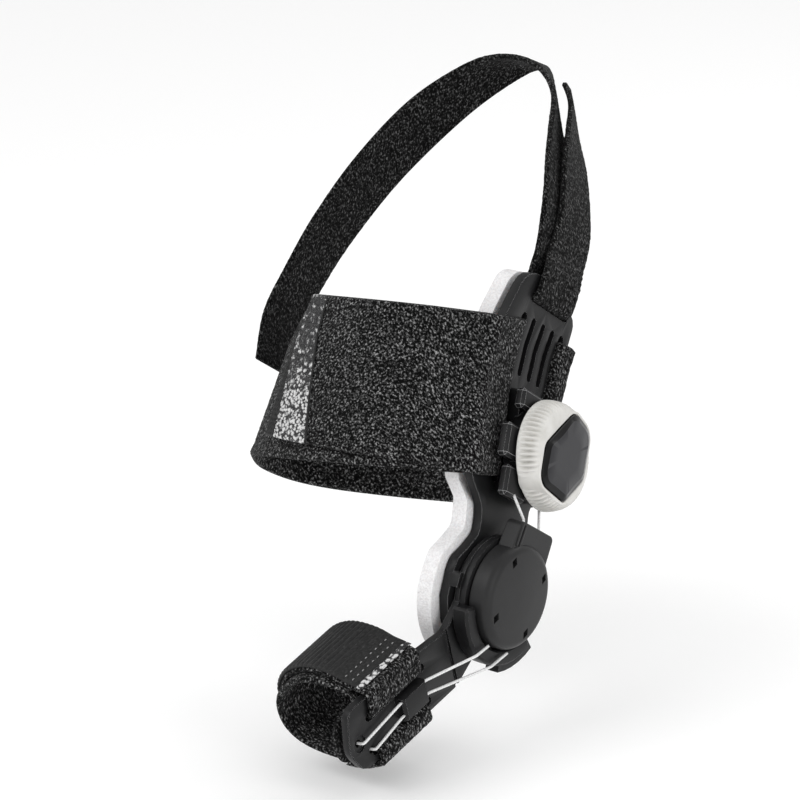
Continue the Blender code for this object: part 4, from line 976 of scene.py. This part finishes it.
def make_cover():
    """Domed disc with a soft shoulder, four diamond holes and a tab with two ridges toward the dial."""
    dome = ((0.05, 0.9), (4.0, 0.82), (8.0, 0.58), (11.0, 0.28))
    profile = [(radius, COVER_OUT + rise) for radius, rise in dome]
    for angle in np.radians(np.linspace(4, 84, 11)):
        radius = COVER_R - COVER_SHOULDER * (1 - math.sin(angle))
        profile.append((radius, COVER_OUT - COVER_SHOULDER * (1 - math.cos(angle)) + 0.1))
    profile += [(COVER_R, COVER_OUT - COVER_SHOULDER - 1.2), (COVER_R, COVER_IN + 0.4),
                (COVER_R - 0.4, COVER_IN), (0.05, COVER_IN)]
    cover = lathe("cover_dome", profile, 144, [COVER], matrix=FRAME_AXES)
    outline = rounded_outline(((6.0, 10.0, 0.5), (COVER_TAB_REACH, 9.0, 1.8),
                               (COVER_TAB_REACH, -9.0, 1.8), (6.0, -10.0, 0.5)))
    tab = slab("cover_tab", outline, COVER_IN + 0.15, COVER_TAB_OUT, 0.8, FRAME_AXES, COVER)
    shape(cover, tab, "UNION")
    for z in TAB_RIDGES_AT:
        corners = [(y, z + rise, 0.4) for y, rise in ((13.2, TAB_RIDGE_HALF), (20.0, TAB_RIDGE_HALF),
                                                      (20.0, -TAB_RIDGE_HALF), (13.2, -TAB_RIDGE_HALF))]
        ridge = slab("cover_ridge", rounded_outline(corners, 30.0), COVER_TAB_OUT - 0.6, COVER_TAB_OUT + 0.35,
                     0.3, FRAME_AXES, COVER)
        shape(cover, ridge, "UNION")
    for k in range(4):
        angle = math.radians(45 + 90 * k)
        middle = np.array([DIAMOND_R * math.cos(angle), DIAMOND_R * math.sin(angle)])
        corners = middle + np.array([(DIAMOND[0], 0), (0, -DIAMOND[1]), (-DIAMOND[0], 0), (0, DIAMOND[1])])
        points = [(level, *corner) for level in (COVER_OUT - 1.6, COVER_OUT + 3.0) for corner in corners]
        faces = [(0, 1, 2, 3), (7, 6, 5, 4), (0, 4, 5, 1), (1, 5, 6, 2), (2, 6, 7, 3), (3, 7, 4, 0)]
        hole = mesh_piece("cover_hole", np.array(points), faces, FRAME_AXES, RIM_GLOSS, False)
        mend_normals(hole)
        shape(cover, hole, "DIFFERENCE")
    cover.data.shade_smooth()
    cover.data.set_sharp_from_angle(angle=math.radians(34))
    return cover


# Hard pieces keep their CAD shape, with small rounded edges painted light grey as a painted highlight

def dress(node, material, bright):
    piece = NODES[node]
    piece.data.materials.clear()
    piece.data.materials.append(material)
    piece.data.materials.append(bright)
    weld = piece.modifiers.new("weld", "WELD")
    weld.merge_threshold = 0.000005
    edge = piece.modifiers.new("edge", "BEVEL")
    edge.width = EDGE_BEVEL * MM
    edge.segments = EDGE_SEGMENTS
    edge.limit_method = "ANGLE"
    edge.angle_limit = math.radians(32)
    edge.use_clamp_overlap = True
    edge.harden_normals = True
    # The bevel faces take the light grey edge material, a painted highlight.
    edge.material = 1
    piece.data.shade_smooth()


for node_name in ("side_frame", "hinge_base", "dial_base", "toe_arm", "hinge_pin"):
    dress(node_name, PLASTIC, PLASTIC_EDGE_HIGHLIGHT)

instep, instep_tab, instep_long = make_instep()
toe, toe_tab, toe_stitches, toe_long, toe_tab_long = make_toe()
heel, heel_long = make_heel()
lining = make_foam()
toe_lining = make_toe_lining()
grip, face = make_dial()
cover = make_cover()
cables = {node: make_lace(node, *spec) for node, spec in LACES.items()}

SWAPS = (
    (instep, "instep_strap", "frame", "black_loop_cloth"),
    (instep_tab, "instep_hook_tab", "frame", "hook_strip"),
    (heel, "heel_strap", "frame", "black_loop_cloth"),
    (lining, "foam_pad", "frame", "white_foam"),
    (cover, "hinge_cover", "frame", "cover_plastic"),
    (toe, "toe_strap", "toe_splint", "black_loop_cloth"),
    (toe_tab, "toe_hook_tab", "toe_splint", "black_webbing"),
    (toe_lining, "toe_pad", "toe_splint", "black_webbing"),
    (grip, "dial_ring", "dial", "grey_rubber"),
    (face, "dial_cap", "dial", "cap_gloss"),
)
for piece, node_name, body, slot_name in SWAPS:
    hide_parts(node_name)
    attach(piece, body)
for node_name, piece in cables.items():
    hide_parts(node_name)
    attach(piece, "frame" if "upper" in node_name else "toe_splint")
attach(toe_stitches, "toe_splint")


# Floor, light and camera

FLOOR_AT = -0.046
FLOOR_HALF = 3.0
STUDIO_MIDDLE = (0.0, 0.02, 0.03)

# The camera: focal length in pixels of the frame, and where the hinge disc's middle lies in the frame
FRAME_PIXELS = 800
FOCAL = 3500.0
DISTANCE = 1.0
DISC = (0.0217, 0.0, 0.0)
DISC_IN_FRAME = (523.7, 599.4)
SENSOR = 36.0


def make_stage():
    mesh = bpy.data.meshes.new("floor")
    corners = [(x * FLOOR_HALF, y * FLOOR_HALF, FLOOR_AT) for x, y in ((-1, -1), (1, -1), (1, 1), (-1, 1))]
    mesh.from_pydata(corners, [], [(0, 1, 2, 3)])
    floor = bpy.data.objects.new("floor", mesh)
    bpy.context.scene.collection.objects.link(floor)
    material, _, shader = new_material("pale_floor", (0.93, 0.93, 0.93), 0.8)
    shader.inputs["Emission Color"].default_value = (1.0, 1.0, 1.0, 1.0)
    shader.inputs["Emission Strength"].default_value = 0.13
    mesh.materials.append(material)
    world = bpy.data.worlds.new("studio")
    world.use_nodes = True
    background = world.node_tree.nodes["Background"]
    background.inputs["Color"].default_value = (1.0, 1.0, 1.0, 1.0)
    background.inputs["Strength"].default_value = 0.8
    bpy.context.scene.world = world


def area_light(name, place, aim, size, power):
    data = bpy.data.lights.new(name, "AREA")
    data.shape = "RECTANGLE"
    data.size, data.size_y = size
    data.energy = power
    lamp = bpy.data.objects.new(name, data)
    bpy.context.scene.collection.objects.link(lamp)
    lamp.location = place
    lamp.rotation_euler = (Vector(aim) - Vector(place)).to_track_quat("-Z", "Y").to_euler()


def make_camera():
    """The photograph's angle: 38 degrees to the right of the toes and 17 above them."""
    turn, rise = math.radians(38.1), math.radians(16.7)
    back = Vector((math.sin(turn) * math.cos(rise), -math.cos(turn) * math.cos(rise), math.sin(rise)))
    right = Vector((math.cos(turn), math.sin(turn), 0.0))
    up = back.cross(right)
    middle = FRAME_PIXELS / 2
    aside = (DISC_IN_FRAME[0] - middle) / FOCAL * DISTANCE
    below = (DISC_IN_FRAME[1] - middle) / FOCAL * DISTANCE
    aim = Vector(DISC) - aside * right + below * up
    data = bpy.data.cameras.new("camera")
    data.sensor_width = SENSOR
    data.lens = SENSOR * FOCAL / FRAME_PIXELS
    data.clip_start = 0.01
    camera = bpy.data.objects.new("camera", data)
    bpy.context.scene.collection.objects.link(camera)
    turned = Matrix((right, up, back)).transposed().to_4x4()
    camera.matrix_world = Matrix.Translation(aim + DISTANCE * back) @ turned
    bpy.context.scene.camera = camera


make_stage()
area_light("key", (-0.35, -0.75, 0.75), (-0.02, 0.02, 0.03), (0.7, 0.5), 3.0)
area_light("side", (0.95, -0.25, 0.35), STUDIO_MIDDLE, (0.4, 0.6), 1.6)
area_light("back", (0.2, 0.9, 0.8), STUDIO_MIDDLE, (0.8, 0.5), 1.8)
make_camera()
bpy.context.scene.view_settings.view_transform = "Standard"
